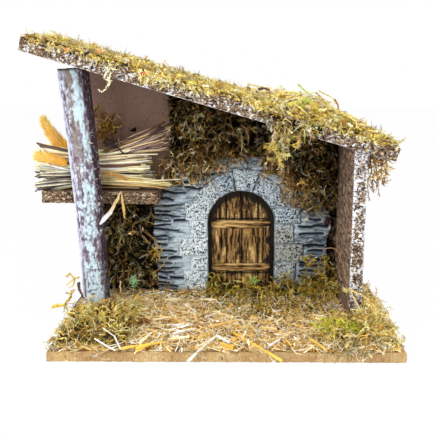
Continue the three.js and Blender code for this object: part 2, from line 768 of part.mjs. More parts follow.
function addRoofMoss() {
  const length = roofEaveRight - roofLeft;
  const start = roofLeft + roofMossMargin;
  const front = roofFront + roofMossMargin;
  const back = baseBack - roofMossMargin;
  const run = length - 2 * roofMossMargin;
  const place = (s, t, z) => v(start + s * run, front + t * (back - front), z);
  const swell = (s) => 0.28 + 0.72 * Math.exp(-(((s - 0.8) / 0.15) ** 2));
  const height = (s, t) => {
    const body = roofMossHeight * swell(s) * (0.25 + 0.75 * dome(s, t));
    return roofTop + body * (1 + 0.16 * lump(s * length, t * (back - front), 19));
  };
  const mat = pad(34, 8, (s, t) => place(s, t, roofTop), (s, t) => place(s, t, height(s, t)));
  add('roof_moss', mat, mossBright, roofFrame);

  const hang = roofFront - clearance;
  const tuftLeft = ontoRoof(archX + tuftToArch);
  const tuftSpan = tuftWidth / Math.cos(roofPitch);
  const drop = (s) => tuftDrop * Math.exp(-(((s - 0.4) / 0.16) ** 2)) + roofThickness / 2;
  const face = (s, t, y) => v(tuftLeft + s * tuftSpan, y, roofThickness - (1 - t) * drop(s) - 1);
  const tuft = pad(12, 5, (s, t) => face(s, t, hang),
    (s, t) => face(s, t, hang - 1 - tuftDepth * dome(s, t)));
  add('roof_moss_tuft', tuft, mossBright, roofFrame);

  const gable = (s, t, y) => {
    const x = wallOuter + clearance + s * gableMossWidth * (0.55 + 0.45 * t);
    return v(x, y, underRoof(x) - (1 - t) * gableMossDrop);
  };
  const gableBack = wallFront + gableMossDepth;
  const gableTuft = pad(6, 6, (s, t) => gable(s, t, gableBack),
    (s, t) => gable(s, t, gableBack - gableMossDepth * (0.2 + 0.7 * dome(s, t))));
  add('gable_moss', gableTuft, mossBright);
}

addRoofMoss();

// Moss glued to the upright faces: each pad reaches from the panel towards the viewer
function uprightMoss(columns, rows, left, right, low, high, back, depth) {
  const place = (s, t, y) => {
    const x = left + s * (right - left);
    return v(x, y, low(x) + t * (high(x) - low(x)));
  };
  const front = (s, t) => {
    const point = place(s, t, 0);
    const body = 1.5 + (depth - 1.5) * dome(s, t);
    return back - body * (1 + 0.12 * lump(point.x, point.z, 17));
  };
  return pad(columns, rows, (s, t) => place(s, t, back), (s, t) => place(s, t, front(s, t)));
}

function addWallMoss() {
  const room = clearance + 0.1;
  const grown = extrudeBack(castOutline(), castFront - room, castBack + 1 + room, -room);
  grown.translate(archX, 0, baseThickness);
  const split = archX + wallMossSplit;
  const mossFoot = baseThickness + castHeight - wallMossLap;
  const ceiling = (x) => underRoof(x) - 1;
  const lowLeft = (x) => {
    const reach = (archX - x) / shelfToArch;
    const fall = wallMossFallLeft * (reach ** 2 + Math.max(0, reach - 0.6));
    return mossFoot - fall;
  };
  const lowRight = (x) => {
    const reach = (x - split) / (wallInner - split);
    return mossFoot - wallMossFallRight * Math.max(0, reach) ** 1.1;
  };
  const wallBack = panelFront - clearance;
  const leftmost = shelfRightX + 9;
  const rightmost = wallInner - clearance;
  const reachOut = [ceiling, wallBack, wallMossDepth];
  const leftPad = uprightMoss(14, 10, leftmost, split - clearance, lowLeft, ...reachOut);
  const rightPad = uprightMoss(12, 12, split, rightmost, lowRight, ...reachOut);
  add('wall_moss_left', cut(leftPad, [grown]), mossGreen);
  add('wall_moss_right', cut(rightPad, [grown]), mossGreen);

  const columnRight = archX + castLeft - clearance - 0.2;
  const columnTop = () => shelfUnderside - clearance - 0.5;
  const column = uprightMoss(8, 12, baseLeft + 14, columnRight, () => baseThickness + clearance, columnTop,
    wallBack, columnMossDepth);
  add('shelf_moss', column, mossGreen);

  const clumpFoot = shelfUnderside + shelfThickness + sheafHeight + loftMossLift;
  const clumpHead = () => clumpFoot + loftMossHeight;
  const clumpLeft = postTopX + 6;
  const clump = uprightMoss(6, 6, clumpLeft, clumpLeft + loftMossWidth, () => clumpFoot, clumpHead,
    wallBack, columnMossDepth - 2);
  add('loft_moss', clump, mossGreen);
}

addWallMoss();

// Ground cover: a litter mat on the base, and moss mounds at the feet of the front, log and wall
const litterTop = baseThickness + litterHeight;

function addGroundCover() {
  const left = baseLeft + litterMargin;
  const right = baseRight - litterMargin;
  const front = baseFront + litterMargin;
  const back = panelFront - litterBackGap;
  const place = (s, t, z) => v(left + s * (right - left), front + t * (back - front), z);
  const height = (s, t) => {
    const bump = 0.06 + 0.05 * lump(s * (right - left), t * (back - front), 14);
    return baseThickness + litterHeight * (0.35 + 0.65 * dome(s, t)) * (1 - bump);
  };
  const mat = pad(30, 14, (s, t) => place(s, t, baseThickness), (s, t) => place(s, t, height(s, t)));
  const postHole = new THREE.CylinderGeometry(1, 1, 40, 20).rotateX(Math.PI / 2);
  postHole.scale(postFootRadius + 1, postFootRadius + 1, 1).translate(postFootX, postY, baseThickness);
  const wallSlot = extrudeBack(shapeOf([
    [wallInner - clearance, 0], [wallOuter + clearance, 0],
    [wallOuter + clearance, wallTop], [wallInner - clearance, wallTop],
  ]), wallFront - clearance, baseBack);
  add('litter_mat', cut(mat, [postHole, wallSlot]), litterTan);

  const mound = (x0, x1, y0, y1, floor, top) => {
    const spot = (s, t, z) => v(x0 + s * (x1 - x0), y0 + t * (y1 - y0), z);
    return pad(12, 6, (s, t) => spot(s, t, floor), (s, t) => {
      const point = spot(s, t, 0);
      return spot(s, t, floor + 1 + (top(s, t) - 1) * (1 + 0.08 * lump(point.x, point.y, 13)));
    });
  };
  const doorFoot = castFront - clearance;
  const behindLitter = Math.max(back + clearance, doorFoot - moundDepth);
  const rampUp = (t) => 0.25 + 0.75 * Math.min(1, 1.5 * t);
  const edge = (s) => Math.min(1, 5 * Math.min(s, 1 - s) + 0.15);
  const doorMossRight = archX + archRadius + doorMossReach;
  const doorMossLeft = archX - archRadius - 2;
  add('door_moss', mound(doorMossLeft, doorMossRight, behindLitter, doorFoot, baseThickness, (s, t) =>
    rampUp(t) * edge(s) * doorMossHeight * (1 - 0.9 * Math.max(0, s - 0.55))), mossGreen);
  const cornerLeft = doorMossRight + clearance;
  const cornerRight = wallInner - clearance;
  add('corner_moss', mound(cornerLeft, cornerRight, behindLitter, doorFoot, baseThickness, (s, t) =>
    rampUp(t) * cornerMossHeight * (1 - 0.55 * Math.abs(s - 0.5))), mossGreen);
  const low = (height) => (s, t) =>
    height * Math.sin(Math.PI * (0.1 + 0.8 * s)) * Math.sin(Math.PI * (0.12 + 0.7 * t));
  const moundFront = baseFront + moundMargin;
  const postMossBack = postY - postFootRadius - 1;
  add('post_moss', mound(baseLeft + 6, postFootX + postMossReach, moundFront, postMossBack, litterTop,
    low(postMossHeight)), mossBright);
  add('wall_foot_moss', mound(wallInner - wallFootMossReach, baseRight - 6, moundFront, wallFront - 1,
    litterTop, low(wallFootMossHeight)), mossBright);
}

addGroundCover();

// Loose straws that lie on the litter near the front edge, and a dried stem beside the wall
function addLooseStraws() {
  const rest = litterTop + clearance + strawRadius;
  const frontEdge = baseFront - strawRadius - 0.6;
  const lines = [
    [v(archX - 15, baseFront + 29, rest), v(archX - 38, frontEdge, rest - 0.6)],
    [v(archX - 5, baseFront + 35, rest), v(archX + 28, baseFront + 3, rest)],
    [v(wallInner - 46, baseFront + 27, rest), v(wallInner - 28, baseFront + 6, rest)],
  ];
  lines.forEach(([from, to], i) => {
    add(`loose_straw_${i + 1}`, bar(from, to, strawRadius, 8), strawGold);
  });

  const stemY = wallFront - 2;
  const route = new THREE.CatmullRomCurve3([
    v(wallInner - 25, stemY, stemTop - 2.8),
    v(wallInner - 17, stemY, stemTop),
    v(wallInner - 10, stemY, stemTop - 7.5),
    v(wallInner - 5, stemY, stemTop - 21.6),
    v(wallInner + 2, stemY, stemTop / 2),
    v(wallInner + 8, stemY - 4, litterTop + wallFootMossHeight + stemRadius + 2 * clearance),
  ]);
  const section = new THREE.Shape().absarc(0, 0, stemRadius, 0, 2 * Math.PI, false);
  const stem = new THREE.ExtrudeGeometry(section, { steps: 30, extrudePath: route, curveSegments: 4 });
  add('dried_stem', stem, strawGold);
}

addLooseStraws();

export default cabin;
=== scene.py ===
# %% [markdown]
# # A miniature cabin for a holiday scene
# The real thing is a craft model about 34 cm wide: a lean-to of brown-painted softboard on a tan base,
# held up on the left by a piece of birch-like log. A cast stone front with a plank door stands against
# the back panel, and moss, straw and chopped litter are glued over everything.
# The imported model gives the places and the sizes. This notebook dresses it, one piece after another.

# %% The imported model, as a fixed frame
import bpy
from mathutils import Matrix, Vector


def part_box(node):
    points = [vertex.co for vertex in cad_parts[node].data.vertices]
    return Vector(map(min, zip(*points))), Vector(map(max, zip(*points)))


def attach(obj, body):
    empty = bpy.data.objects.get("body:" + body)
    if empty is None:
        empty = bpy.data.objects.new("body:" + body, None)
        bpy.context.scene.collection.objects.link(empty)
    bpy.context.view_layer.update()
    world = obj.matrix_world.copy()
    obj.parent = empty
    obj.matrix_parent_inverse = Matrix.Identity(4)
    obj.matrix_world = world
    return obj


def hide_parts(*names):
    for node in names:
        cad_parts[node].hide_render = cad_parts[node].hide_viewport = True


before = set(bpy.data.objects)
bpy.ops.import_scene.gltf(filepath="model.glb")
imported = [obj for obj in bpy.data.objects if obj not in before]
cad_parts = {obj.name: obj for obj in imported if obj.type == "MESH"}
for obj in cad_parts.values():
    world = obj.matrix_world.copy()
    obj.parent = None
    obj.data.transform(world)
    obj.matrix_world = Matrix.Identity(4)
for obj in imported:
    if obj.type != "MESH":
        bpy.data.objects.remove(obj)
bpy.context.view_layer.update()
print("nodes in the frame:", len(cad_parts))

# %% Libraries and units
import math
from collections import namedtuple

import bpy
import numpy as np
from mathutils import Matrix, Vector, geometry

MM = 0.001
seeded = np.random.default_rng
scene = bpy.context.scene
scene.view_settings.view_transform = "Standard"

# %% [markdown]
# ## The camera
# The photograph shows the front, a little from above, so a lens of about 56 mm looks from 60 cm away.

# %% The camera
PHOTO_WIDTH = 435
FOCAL_PIXELS = 675.5
EYE = Vector((9.58, -601.81, 250.36))
PITCH = 0.23945
YAW = 0.02892
ROLL = -0.00879

camera_data = bpy.data.cameras.new("camera")
camera_data.sensor_width = 36
camera_data.lens = camera_data.sensor_width * FOCAL_PIXELS / PHOTO_WIDTH
camera = bpy.data.objects.new("camera", camera_data)
scene.collection.objects.link(camera)
heading = Matrix.Rotation(YAW, 4, "Z") @ Matrix.Rotation(math.pi / 2 - PITCH, 4, "X")
camera.matrix_world = Matrix.Translation(EYE * MM) @ heading @ Matrix.Rotation(ROLL, 4, "Z")
scene.camera = camera
print(f"lens {camera_data.lens:.1f} mm, {EYE.length:.0f} mm from the middle of the base")

# %% [markdown]
# ## Shader maths as Python
# A finish is a tree of nodes, and most nodes are small sums. This class wraps a socket, so that `1 - mask`
# or `dust * 0.5 + grain` adds Math nodes. One method makes every other node.

# %% One socket that can be added and multiplied
class Knob:
    """An output socket. Arithmetic on it adds Math nodes."""

    def __init__(self, finish, socket):
        self.finish, self.socket = finish, socket

    def math(self, operation, *values):
        return self.finish.node("ShaderNodeMath", {"operation": operation}, dict(enumerate(values)))

    def __add__(self, other):
        return self.math("ADD", self, other)

    def __sub__(self, other):
        return self.math("SUBTRACT", self, other)

    def __rsub__(self, other):
        return self.math("SUBTRACT", other, self)

    def __mul__(self, other):
        return self.math("MULTIPLY", self, other)

    def step(self, low, high):
        inputs = {"Value": self, "From Min": low, "From Max": high}
        return self.finish.node("ShaderNodeMapRange", {"interpolation_type": "SMOOTHSTEP"}, inputs)

    __radd__, __rmul__ = __add__, __mul__


# %% Colours written as on a paint card
def paint(code):
    parts = [int(code[i:i + 2], 16) / 255 for i in (1, 3, 5)]
    return [part / 12.92 if part <= 0.04045 else ((part + 0.055) / 1.055) ** 2.4 for part in parts]


def linear(colour):
    """A colour's linear values, from its code or as they are."""
    return np.asarray(paint(colour) if isinstance(colour, str) else colour)


# %% A finish: one material and the ways to build its tree
class Finish:
    def __init__(self, name, roughness, gloss=0.15):
        self.material = bpy.data.materials.new(name)
        self.material.use_nodes = True
        self.tree = self.material.node_tree
        self.shader = self.tree.nodes["Principled BSDF"]
        self.shader.inputs["Roughness"].default_value = roughness
        self.shader.inputs["Specular IOR Level"].default_value = gloss
        self.place = self.node("ShaderNodeTexCoord", output="Object")

    def node(self, kind, settings=None, inputs=None, output=0):
        made = self.tree.nodes.new(kind)
        for name, value in (settings or {}).items():
            setattr(made, name, value)
        for name, value in (inputs or {}).items():
            self.feed(made.inputs[name], value)
        return Knob(self, made.outputs[output])

    def feed(self, socket, value):
        if isinstance(value, Knob):
            self.tree.links.new(value.socket, socket)
        elif isinstance(value, str):
            socket.default_value = (*paint(value), 1)
        else:
            socket.default_value = value

    def noise(self, size, detail=3, roughness=0.6, stretch=(1, 1, 1)):
        """Lumps of about the size in millimetres, longer along the axes that are stretched."""
        scale = tuple(1 / part for part in stretch)
        place = self.node("ShaderNodeMapping", None, {"Vector": self.place, "Scale": scale})
        inputs = {"Vector": place, "Scale": 1 / (size * MM), "Detail": detail, "Roughness": roughness}
        return self.node("ShaderNodeTexNoise", None, inputs)

    def pores(self, size):
        """Cells of about the size in millimetres: how far the middle of each is."""
        inputs = {"Vector": self.place, "Scale": 1 / (size * MM)}
        return self.node("ShaderNodeTexVoronoi", None, inputs, "Distance")

    def mix(self, share, first, second):
        return self.node("ShaderNodeMix", {"data_type": "RGBA"}, {0: share, 6: first, 7: second}, 2)

    def tint(self, output="Color"):
        return self.node("ShaderNodeAttribute", {"attribute_name": "tint"}, None, output)

    def shade(self, colour, amount):
        return self.node("ShaderNodeVectorMath", {"operation": "SCALE"}, {0: colour, "Scale": amount})

    def channels(self, colour):
        first = self.node("ShaderNodeSeparateColor", None, {"Color": colour})
        return [Knob(self, output) for output in first.socket.node.outputs]

    def bump(self, height, depth, strength=1.0):
        inputs = {"Height": height, "Distance": depth * MM, "Strength": strength}
        self.feed(self.shader.inputs["Normal"], self.node("ShaderNodeBump", None, inputs))

    def colour(self, value):
        self.feed(self.shader.inputs["Base Color"], value)


# %% [markdown]
# ## Fixed randomness
# Craft materials are irregular, but each run gives the same result: smooth noise comes from a hash of
# whole-numbered cells, and every random generator has a seed.

# %% Smooth noise on many points at once
def dice(cells, seed):
    """The same number from 0 to 1 for the same cell."""
    x, y, z = np.moveaxis(cells.astype(np.int64), -1, 0)
    n = x * 374761393 + y * 668265263 + z * 1440662683 + seed * 974634777
    n = (n ^ (n >> 13)) * 1274126177
    return ((n ^ (n >> 16)) & 0xFFFFFF) / 0xFFFFFF


def wave(points, pitch, seed=0):
    """Smooth noise from -1 to 1, with lumps one pitch wide."""
    place = points / np.asarray(pitch, float)
    cell = np.floor(place)
    part = place - cell
    part = part * part * (3 - 2 * part)
    total = 0
    for corner in np.ndindex(2, 2, 2):
        weight = np.prod(np.where(corner, part, 1 - part), axis=-1)
        total = total + weight * dice(cell + corner, seed)
    return 2 * total - 1


def rubble(points, pitch, layers=3, seed=0):
    """Noise in layers, each half as big as the last and 0.55 as strong."""
    total, strength = 0, 1.0
    for layer in range(layers):
        total = total + strength * wave(points, np.asarray(pitch, float) / 2 ** layer, seed + layer)
        strength *= 0.55
    return total


# %% Smooth steps and unit vectors
def smooth(values, low, high):
    part = np.clip((values - low) / (high - low), 0, 1)
    return part * part * (3 - 2 * part)


def columns(*parts):
    return np.column_stack(parts)


def bell(values, middle, width):
    return np.exp(-((values - middle) / width) ** 2)


def unit(vectors):
    return vectors / np.maximum(np.linalg.norm(vectors, axis=-1, keepdims=True), 1e-9)


def blend(first, second, share):
    share = np.asarray(share)[..., None]
    return linear(first) * (1 - share) + linear(second) * share


def coats(colour, *layers):
    """A colour under layers, each with its own colour and its share."""
    for layer, share in layers:
        colour = blend(colour, layer, share)
    return colour


# %% [markdown]
# ## From arrays to pieces
# Every piece is worked out as arrays in millimetres. One function makes the mesh, stores a colour per point
# as tint, gives it its finish, hangs it under the root body and hides the nodes it stands for.

# %% Make a piece
piece_faces = {}


def make_piece(name, mesh_data, finish, nodes, flat=False):
    points, faces, tints = mesh_data
    mesh = bpy.data.meshes.new(name)
    mesh.vertices.add(len(points))
    mesh.vertices.foreach_set("co", (points * MM).astype(np.float32).ravel())
    mesh.loops.add(faces.size)
    mesh.loops.foreach_set("vertex_index", faces.astype(np.int32).ravel())
    mesh.polygons.add(len(faces))
    mesh.polygons.foreach_set("loop_start", np.arange(0, faces.size, 3, dtype=np.int32))
    mesh.polygons.foreach_set("use_smooth", np.full(len(faces), not flat))
    mesh.update(calc_edges=True)
    colours = np.ones((len(points), 4), np.float32)
    colours[:, :tints.shape[1]] = tints
    mesh.color_attributes.new("tint", "FLOAT_COLOR", "POINT").data.foreach_set("color", colours.ravel())
    mesh.materials.append(finish.material)
    piece = bpy.data.objects.new(name, mesh)
    scene.collection.objects.link(piece)
    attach(piece, "root")
    if nodes:
        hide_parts(*nodes)
    piece_faces[name] = len(faces)
    return piece


# %% Corners of a node and a heap of small bits
def box_of(node):
    """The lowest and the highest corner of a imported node, in millimetres."""
    low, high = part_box(node)
    return np.array(low) / MM, np.array(high) / MM


class Heap:
    """Bits that are gathered into one mesh."""

    def __init__(self):
        self.points, self.faces, self.tints, self.count = [], [], [], 0

    def add(self, points, faces, tints):
        points = points.reshape(-1, 3)
        self.points.append(points)
        self.faces.append(faces.reshape(-1, 3) + self.count)
        self.tints.append(np.broadcast_to(linear(tints), points.shape))
        self.count += len(points)

    def mesh(self, ground=0.4):
        """The whole heap. What would hang below the ground is laid on it."""
        points = np.concatenate(self.points)
        points[:, 2] = np.maximum(points[:, 2], ground)
        return points, np.concatenate(self.faces), np.concatenate(self.tints)


def halves(quads):
    return np.concatenate([quads[..., [0, 1, 2]], quads[..., [0, 2, 3]]]).reshape(-1, 3)


def normals_of(points, faces):
    a, b, c = (points[faces[:, i]] for i in range(3))
    total = np.zeros_like(points)
    for i in range(3):
        np.add.at(total, faces[:, i], np.cross(b - a, c - a))
    return unit(total)


# %% [markdown]
# ## The floor and the light
# The photograph is a cut-out on white with soft light from the front. So the floor and the world are white
# where the camera sees them, and a large lamp on the left lights the log's bright side, which is also painted
# lighter.

# %% A white world and a pale floor that keeps the shadow
world = bpy.data.worlds.new("studio")
scene.world = world
world.use_nodes = True
nodes, links = world.node_tree.nodes, world.node_tree.links
AMBIENT = 0.55
ray = nodes.new("ShaderNodeLightPath")
level = nodes.new("ShaderNodeMapRange")
level.inputs["To Min"].default_value = AMBIENT
either = nodes.new("ShaderNodeMath")
either.operation = "MAXIMUM"
links.new(ray.outputs["Is Camera Ray"], either.inputs[0])
links.new(ray.outputs["Is Glossy Ray"], either.inputs[1])
links.new(either.outputs[0], level.inputs["Value"])
links.new(level.outputs["Result"], nodes["Background"].inputs["Strength"])
nodes["Background"].inputs["Color"].default_value = (1, 1, 1, 1)

FLOOR_HALF = 2.5
FLOOR_GLOW = 0.965
floor_finish = Finish("floor_white", 0.9)
floor_finish.shader.inputs["Base Color"].default_value = (0.92, 0.93, 0.95, 1)
glow = floor_finish.node("ShaderNodeEmission", None, {"Color": "#ffffff", "Strength": 1.0})
direct = floor_finish.node("ShaderNodeLightPath", output="Is Camera Ray")
mirrored = Knob(floor_finish, direct.socket.node.outputs["Is Glossy Ray"])
seen = direct.math("MAXIMUM", direct, mirrored) * FLOOR_GLOW
skin = Knob(floor_finish, floor_finish.shader.outputs[0])
cover = floor_finish.node("ShaderNodeMixShader", None, {0: seen, 1: skin, 2: glow})
floor_finish.feed(floor_finish.tree.nodes["Material Output"].inputs["Surface"], cover)

floor_mesh = bpy.data.meshes.new("floor")
half = FLOOR_HALF
corners = [(-half, -half, 0), (half, -half, 0), (half, half, 0), (-half, half, 0)]
floor_mesh.from_pydata(corners, [], [(0, 1, 2, 3)])
floor_mesh.materials.append(floor_finish.material)
floor = bpy.data.objects.new("floor", floor_mesh)
scene.collection.objects.link(floor)

# %% Three soft lamps
def lamp(name, place, power, size):
    """A square lamp aimed at the cabin. The place is in metres."""
    data = bpy.data.lights.new(name, "AREA")
    data.energy = power
    data.size = size
    made = bpy.data.objects.new(name, data)
    scene.collection.objects.link(made)
    made.location = place
    aim = Vector((0, 0, 0.12)) - made.location
    made.rotation_euler = aim.to_track_quat("-Z", "Y").to_euler()


lamp("key_lamp", (-0.75, -1.15, 0.75), 11.0, 0.8)
lamp("fill_lamp", (0.85, -1.1, 0.7), 5.0, 0.9)
lamp("top_lamp", (-0.1, -0.35, 1.5), 10.0, 1.0)
print("lamps and floor are in place")

# %% [markdown]
# ## Softboard
# The boards are sawn from porous softboard: smooth mauve-brown faces with dark specks, and crumbly cut
# edges rubbed with white. Each is a welded skin of small cells with worn arrises and edges dented by noise.
# Its mesh carries masks for the finish: cut edge, rubbed arris, and the hollow of each pit, which is painted
# darker as shade.

# %% The finish of painted softboard
def softboard_finish():
    finish = Finish("painted_softboard", 0.85)
    cut, rubbed, hollow = finish.channels(finish.tint())
    broad = finish.noise(60, 2)
    fine = finish.noise(1.3, 5, 0.75)
    speck = finish.noise(1.7, 4, 0.75, (1, 1, 2.2)).step(0.575, 0.65)
    face = finish.mix(broad.step(0.3, 0.7), "#9a7d6b", "#8a6f63")
    rough = rubbed.step(0.2, 0.6)
    face = finish.mix(fine.step(0.5, 0.7) * 0.45, face, "#6d5347")
    face = finish.mix(speck * 0.75, face, "#4a3230")
    streak = finish.noise(1.7, 4, 0.8, (1, 7, 2)).step(0.51, 0.59)
    pale = finish.noise(1.5, 4, 0.8, (1, 7, 2)).step(0.53, 0.58)
    face = finish.mix(streak * rough * 0.95, face, "#2d1d17")
    face = finish.mix(pale * rough * 0.85, face, "#dcc4a0")
    crumb = finish.mix(fine.step(0.36, 0.62), "#2b1a14", "#93765c")
    # The pits of the cut edge are painted darker, as shade.
    crumb = finish.mix(hollow.step(0.15, 0.7), crumb, "#1d110d")
    cells = finish.pores(2.7)
    flake = finish.noise(1.9, 5, 0.8, (1.3, 1, 1)) + finish.noise(9, 2) * 0.5 + cells * 0.22 + rubbed * 0.42
    white = flake.step(1.04, 1.08) * (1 - hollow.step(0.3, 0.8) * 0.7)
    straw_chip = finish.noise(2.0, 4, 0.75, (1.7, 1, 1)).step(0.54, 0.58)
    gap = finish.noise(2.1, 4, 0.75, (1.5, 1, 1)).step(0.53, 0.57)
    edge = finish.mix(straw_chip * 0.85, crumb, "#dcc49c")
    edge = finish.mix(white, edge, "#ececf0")
    edge = finish.mix(gap * 0.92, edge, "#120a08")
    finish.colour(finish.mix(cut.step(0.35, 0.65), face, edge))
    finish.bump(fine + white * 0.4, 0.5, 0.6)
    return finish


softboard = softboard_finish()

# %% The skin of a block
def block_skin(cells):
    """The welded skin of a block of cells: places from 0 to 1, and triangles."""
    sheets = []
    for axis in range(3):
        first, second = (axis + 1) % 3, (axis + 2) % 3
        u, w = np.meshgrid(np.arange(cells[first]), np.arange(cells[second]), indexing="ij")
        for side in (0, cells[axis]):
            corners = np.zeros((u.size, 4, 3), int)
            corners[:, :, axis] = side
            for i, (du, dw) in enumerate(((0, 0), (1, 0), (1, 1), (0, 1))):
                corners[:, i, first] = u.ravel() + du
                corners[:, i, second] = w.ravel() + dw
            sheets.append(corners if side else corners[:, ::-1])
    corners = np.concatenate(sheets).reshape(-1, 3)
    places, index = np.unique(corners, axis=0, return_inverse=True)
    return places / np.array(cells), halves(index.reshape(-1, 4))


def skin_normals(places):
    return unit((places > 0.9999).astype(float) - (places < 0.0001))


# %% Make a board
def turned_corners(node, angle):
    """The corners in X and Z of a turned board that fills its node's box."""
    low, high = box_of(node)
    wide, tall = high[0] - low[0], high[2] - low[2]
    sine, cosine = math.sin(angle), math.cos(angle)
    thick = (tall * cosine - wide * sine) / (cosine ** 2 - sine ** 2)
    length = (wide - thick * sine) / cosine
    right = np.array([high[0] - thick * sine, low[2]])
    left = right + length * np.array([-cosine, sine])
    rise = thick * np.array([sine, cosine])
    return np.array([left, right, right + rise, left + rise])


def level_corners(node, top_right=None):
    """The same for an upright board, whose top may fall to the right."""
    low, high = box_of(node)
    top_right = high[2] if top_right is None else top_right
    return np.array([(low[0], low[2]), (high[0], low[2]), (high[0], top_right), (low[0], high[2])])


def board(node, corners, cells, cuts, rubs, crumble=0.45, wear=0.7):
    """A board. cuts are the axes whose ends are sawn, rubs says how white the edges are."""
    low, high = box_of(node)
    places, faces = block_skin(cells)
    flat_way = skin_normals(places)
    spans = np.array([np.linalg.norm(corners[1] - corners[0]), high[1] - low[1], np.linalg.norm(corners[3]
        - corners[0])])
    points = places * spans
    inner = np.clip(points, wear, spans - wear)
    points = inner + wear * unit(points - inner)
    share = points / spans
    a, c = share[:, :1], share[:, 2:]
    section = (corners[0] * (1 - a) + corners[1] * a) * (1 - c) + (corners[3] * (1 - a) + corners[2] * a) * c
    points = columns(section[:, 0], low[1] + share[:, 1] * spans[1], section[:, 1])
    cut = np.max([np.abs(flat_way[:, axis]) for axis in cuts], axis=0) > 0.5
    ways = normals_of(points, faces)
    dent = rubble(points, 3.2, 3, seed=len(node))
    pit = smooth(rubble(points, 1.9, 2, seed=len(node) + 5), 0.35, 0.9)
    depth = np.where(cut, crumble * (dent - 0.4) - 0.9 * crumble * pit, 0.12 * dent)
    points = points + ways * depth[:, None]
    points[:, 2] = np.maximum(points[:, 2], 0)
    rub = np.clip(rubs(share, flat_way), 0, 1)
    tints = columns(cut, rub, np.where(cut, pit, 0))
    return points, faces, tints


# %% [markdown]
# ### The roof board
# Its front edge is the most worn face: dark crumbly fibre with white specks.

# %% The roof board
ROOF_PITCH = math.radians(16.7)
SHELF_TILT = math.radians(0.9)


def roof_rub(share, way):
    low_arris = smooth(0.07 - share[:, 2], 0, 0.05)
    ends = smooth(np.abs(share[:, 0] - 0.5), 0.42, 0.5)
    return 0.3 + 0.34 * low_arris - 0.14 * ends - 0.1 * smooth(share[:, 2], 0.45, 1)


roof_corners = turned_corners("roof_board", ROOF_PITCH)
roof_mesh = board("roof_board", roof_corners, (400, 44, 16), (0, 1), roof_rub, crumble=0.55)
make_piece("roof_softboard", roof_mesh, softboard, ["roof_board"])

# %% [markdown]
# ### The loft shelf, the back panel and the right wall
# The shelf has beige specks along its front, and the wall's narrow front edge is mostly white.

# %% The other painted boards
PANEL_TOP_RIGHT = box_of("right_wall")[0][2] + 156.2


def shelf_rub(share, way):
    return 0.12 * smooth(0.12 - share[:, 2], 0, 0.1)


def panel_rub(share, way):
    return np.full(len(share), 0.05)


def wall_rub(share, way):
    """White along both arrises, bare near the ground."""
    arris = smooth(np.abs(share[:, 0] - 0.55), 0.25, 0.5)
    bare = bell(share[:, 2], 0.42, 0.08)
    arris = arris * (way[:, 0] < 0.9)
    return (0.42 * (way[:, 0] < 0.9) + 0.4 * arris - 0.2 * bare) * smooth(share[:, 2], 0.03, 0.17)


shelf_corners = turned_corners("loft_shelf", SHELF_TILT)
panel_corners = level_corners("back_panel", PANEL_TOP_RIGHT)
wall_corners = level_corners("right_wall", PANEL_TOP_RIGHT)
for name, node, corners, cells, cuts, rubs, crumble in (("loft_softboard", "loft_shelf", shelf_corners,
        (140, 20, 14), (0, 1), shelf_rub, 0.45), ("panel_softboard", "back_panel", panel_corners,
        (110, 8, 90), (0, 2), panel_rub, 0.45), ("wall_softboard", "right_wall", wall_corners, (14, 50, 190),
        (1,), wall_rub, 0.6)):
    mesh = board(node, corners, cells, cuts, rubs, crumble)
    make_piece(name, mesh, softboard, [node])
print("painted boards:", piece_faces)

# %% [markdown]
# ### The base board
# It is unpainted, with fine upright grain along its front edge.

# %% The base board
def base_finish():
    finish = Finish("raw_edge_tan", 0.85)
    grain = finish.noise(0.9, 4, 0.75, (1, 1, 7))
    broad = finish.noise(26, 4)
    scuff = finish.noise(3.4, 5, 0.8, (2, 1, 1)).step(0.56, 0.66)
    tan = finish.mix(broad.step(0.35, 0.65), "#b28f5f", "#cdb07c")
    tan = finish.mix(grain.step(0.42, 0.68) * 0.8, tan, "#8a6439")
    tan = finish.mix(scuff * 0.75, tan, "#ecdfbc")
    finish.colour(tan)
    finish.bump(grain, 0.4, 0.5)
    return finish


raw_edge = base_finish()
base_mesh = board("base_board", level_corners("base_board"), (300, 40, 9), (0, 1), panel_rub, crumble=0.3)
make_piece("base_tan_board", base_mesh, raw_edge, ["base_board"])

# %% [markdown]
# ## The log
# A slightly bowed piece of branch, wider at its sawn top. White-blue wash was dragged over violet-brown
# bark, so it sits on the raised flakes. Wash and relief are worked out together from the same flakes.

# %% The finish of the log, and of every piece that carries its own colours
def washed_finish(name, roughness, grain_size, stretch, bump_depth, contrast=0.3, gloss=0.15):
    """The mesh's colours, with a grain too fine for the mesh."""
    finish = Finish(name, roughness, gloss)
    grain = finish.noise(grain_size, 4, 0.7, stretch)
    finish.colour(finish.shade(finish.tint(), grain.step(0.25, 0.75) * contrast + (1 - contrast / 2)))
    finish.bump(grain, bump_depth, 0.5)
    return finish


bark_wash = washed_finish("washed_bark", 0.85, 0.8, (1, 1, 2.2), 0.4, 0.45)

# %% The log's axis and its skin
FOOT_RADIUS = 13.0
TOP_RADIUS = 14.5
LOG_BOW = 2.0
LOG_TURNS, LOG_RISES = 170, 400
log_low, log_high = box_of("left_post")
log_y = (log_low[1] + log_high[1]) / 2
foot_x = log_high[0] - FOOT_RADIUS
top_x = log_low[0] + TOP_RADIUS
LOG_LEAN = math.atan2(foot_x - top_x, log_high[2] - log_low[2])


def log_place(turn, rise, radius):
    """A point of the log: turn runs from the front to the right, rise from 0 to 1."""
    reach = radius * np.sin(turn)
    x = foot_x + (top_x - foot_x) * rise + LOG_BOW * np.sin(np.pi * rise)
    height = log_high[2] - 0.7 - log_low[2]
    z = log_low[2] + height * rise + reach * rise * LOG_LEAN
    return np.stack([x + reach, log_y - radius * np.cos(turn), z], axis=-1)


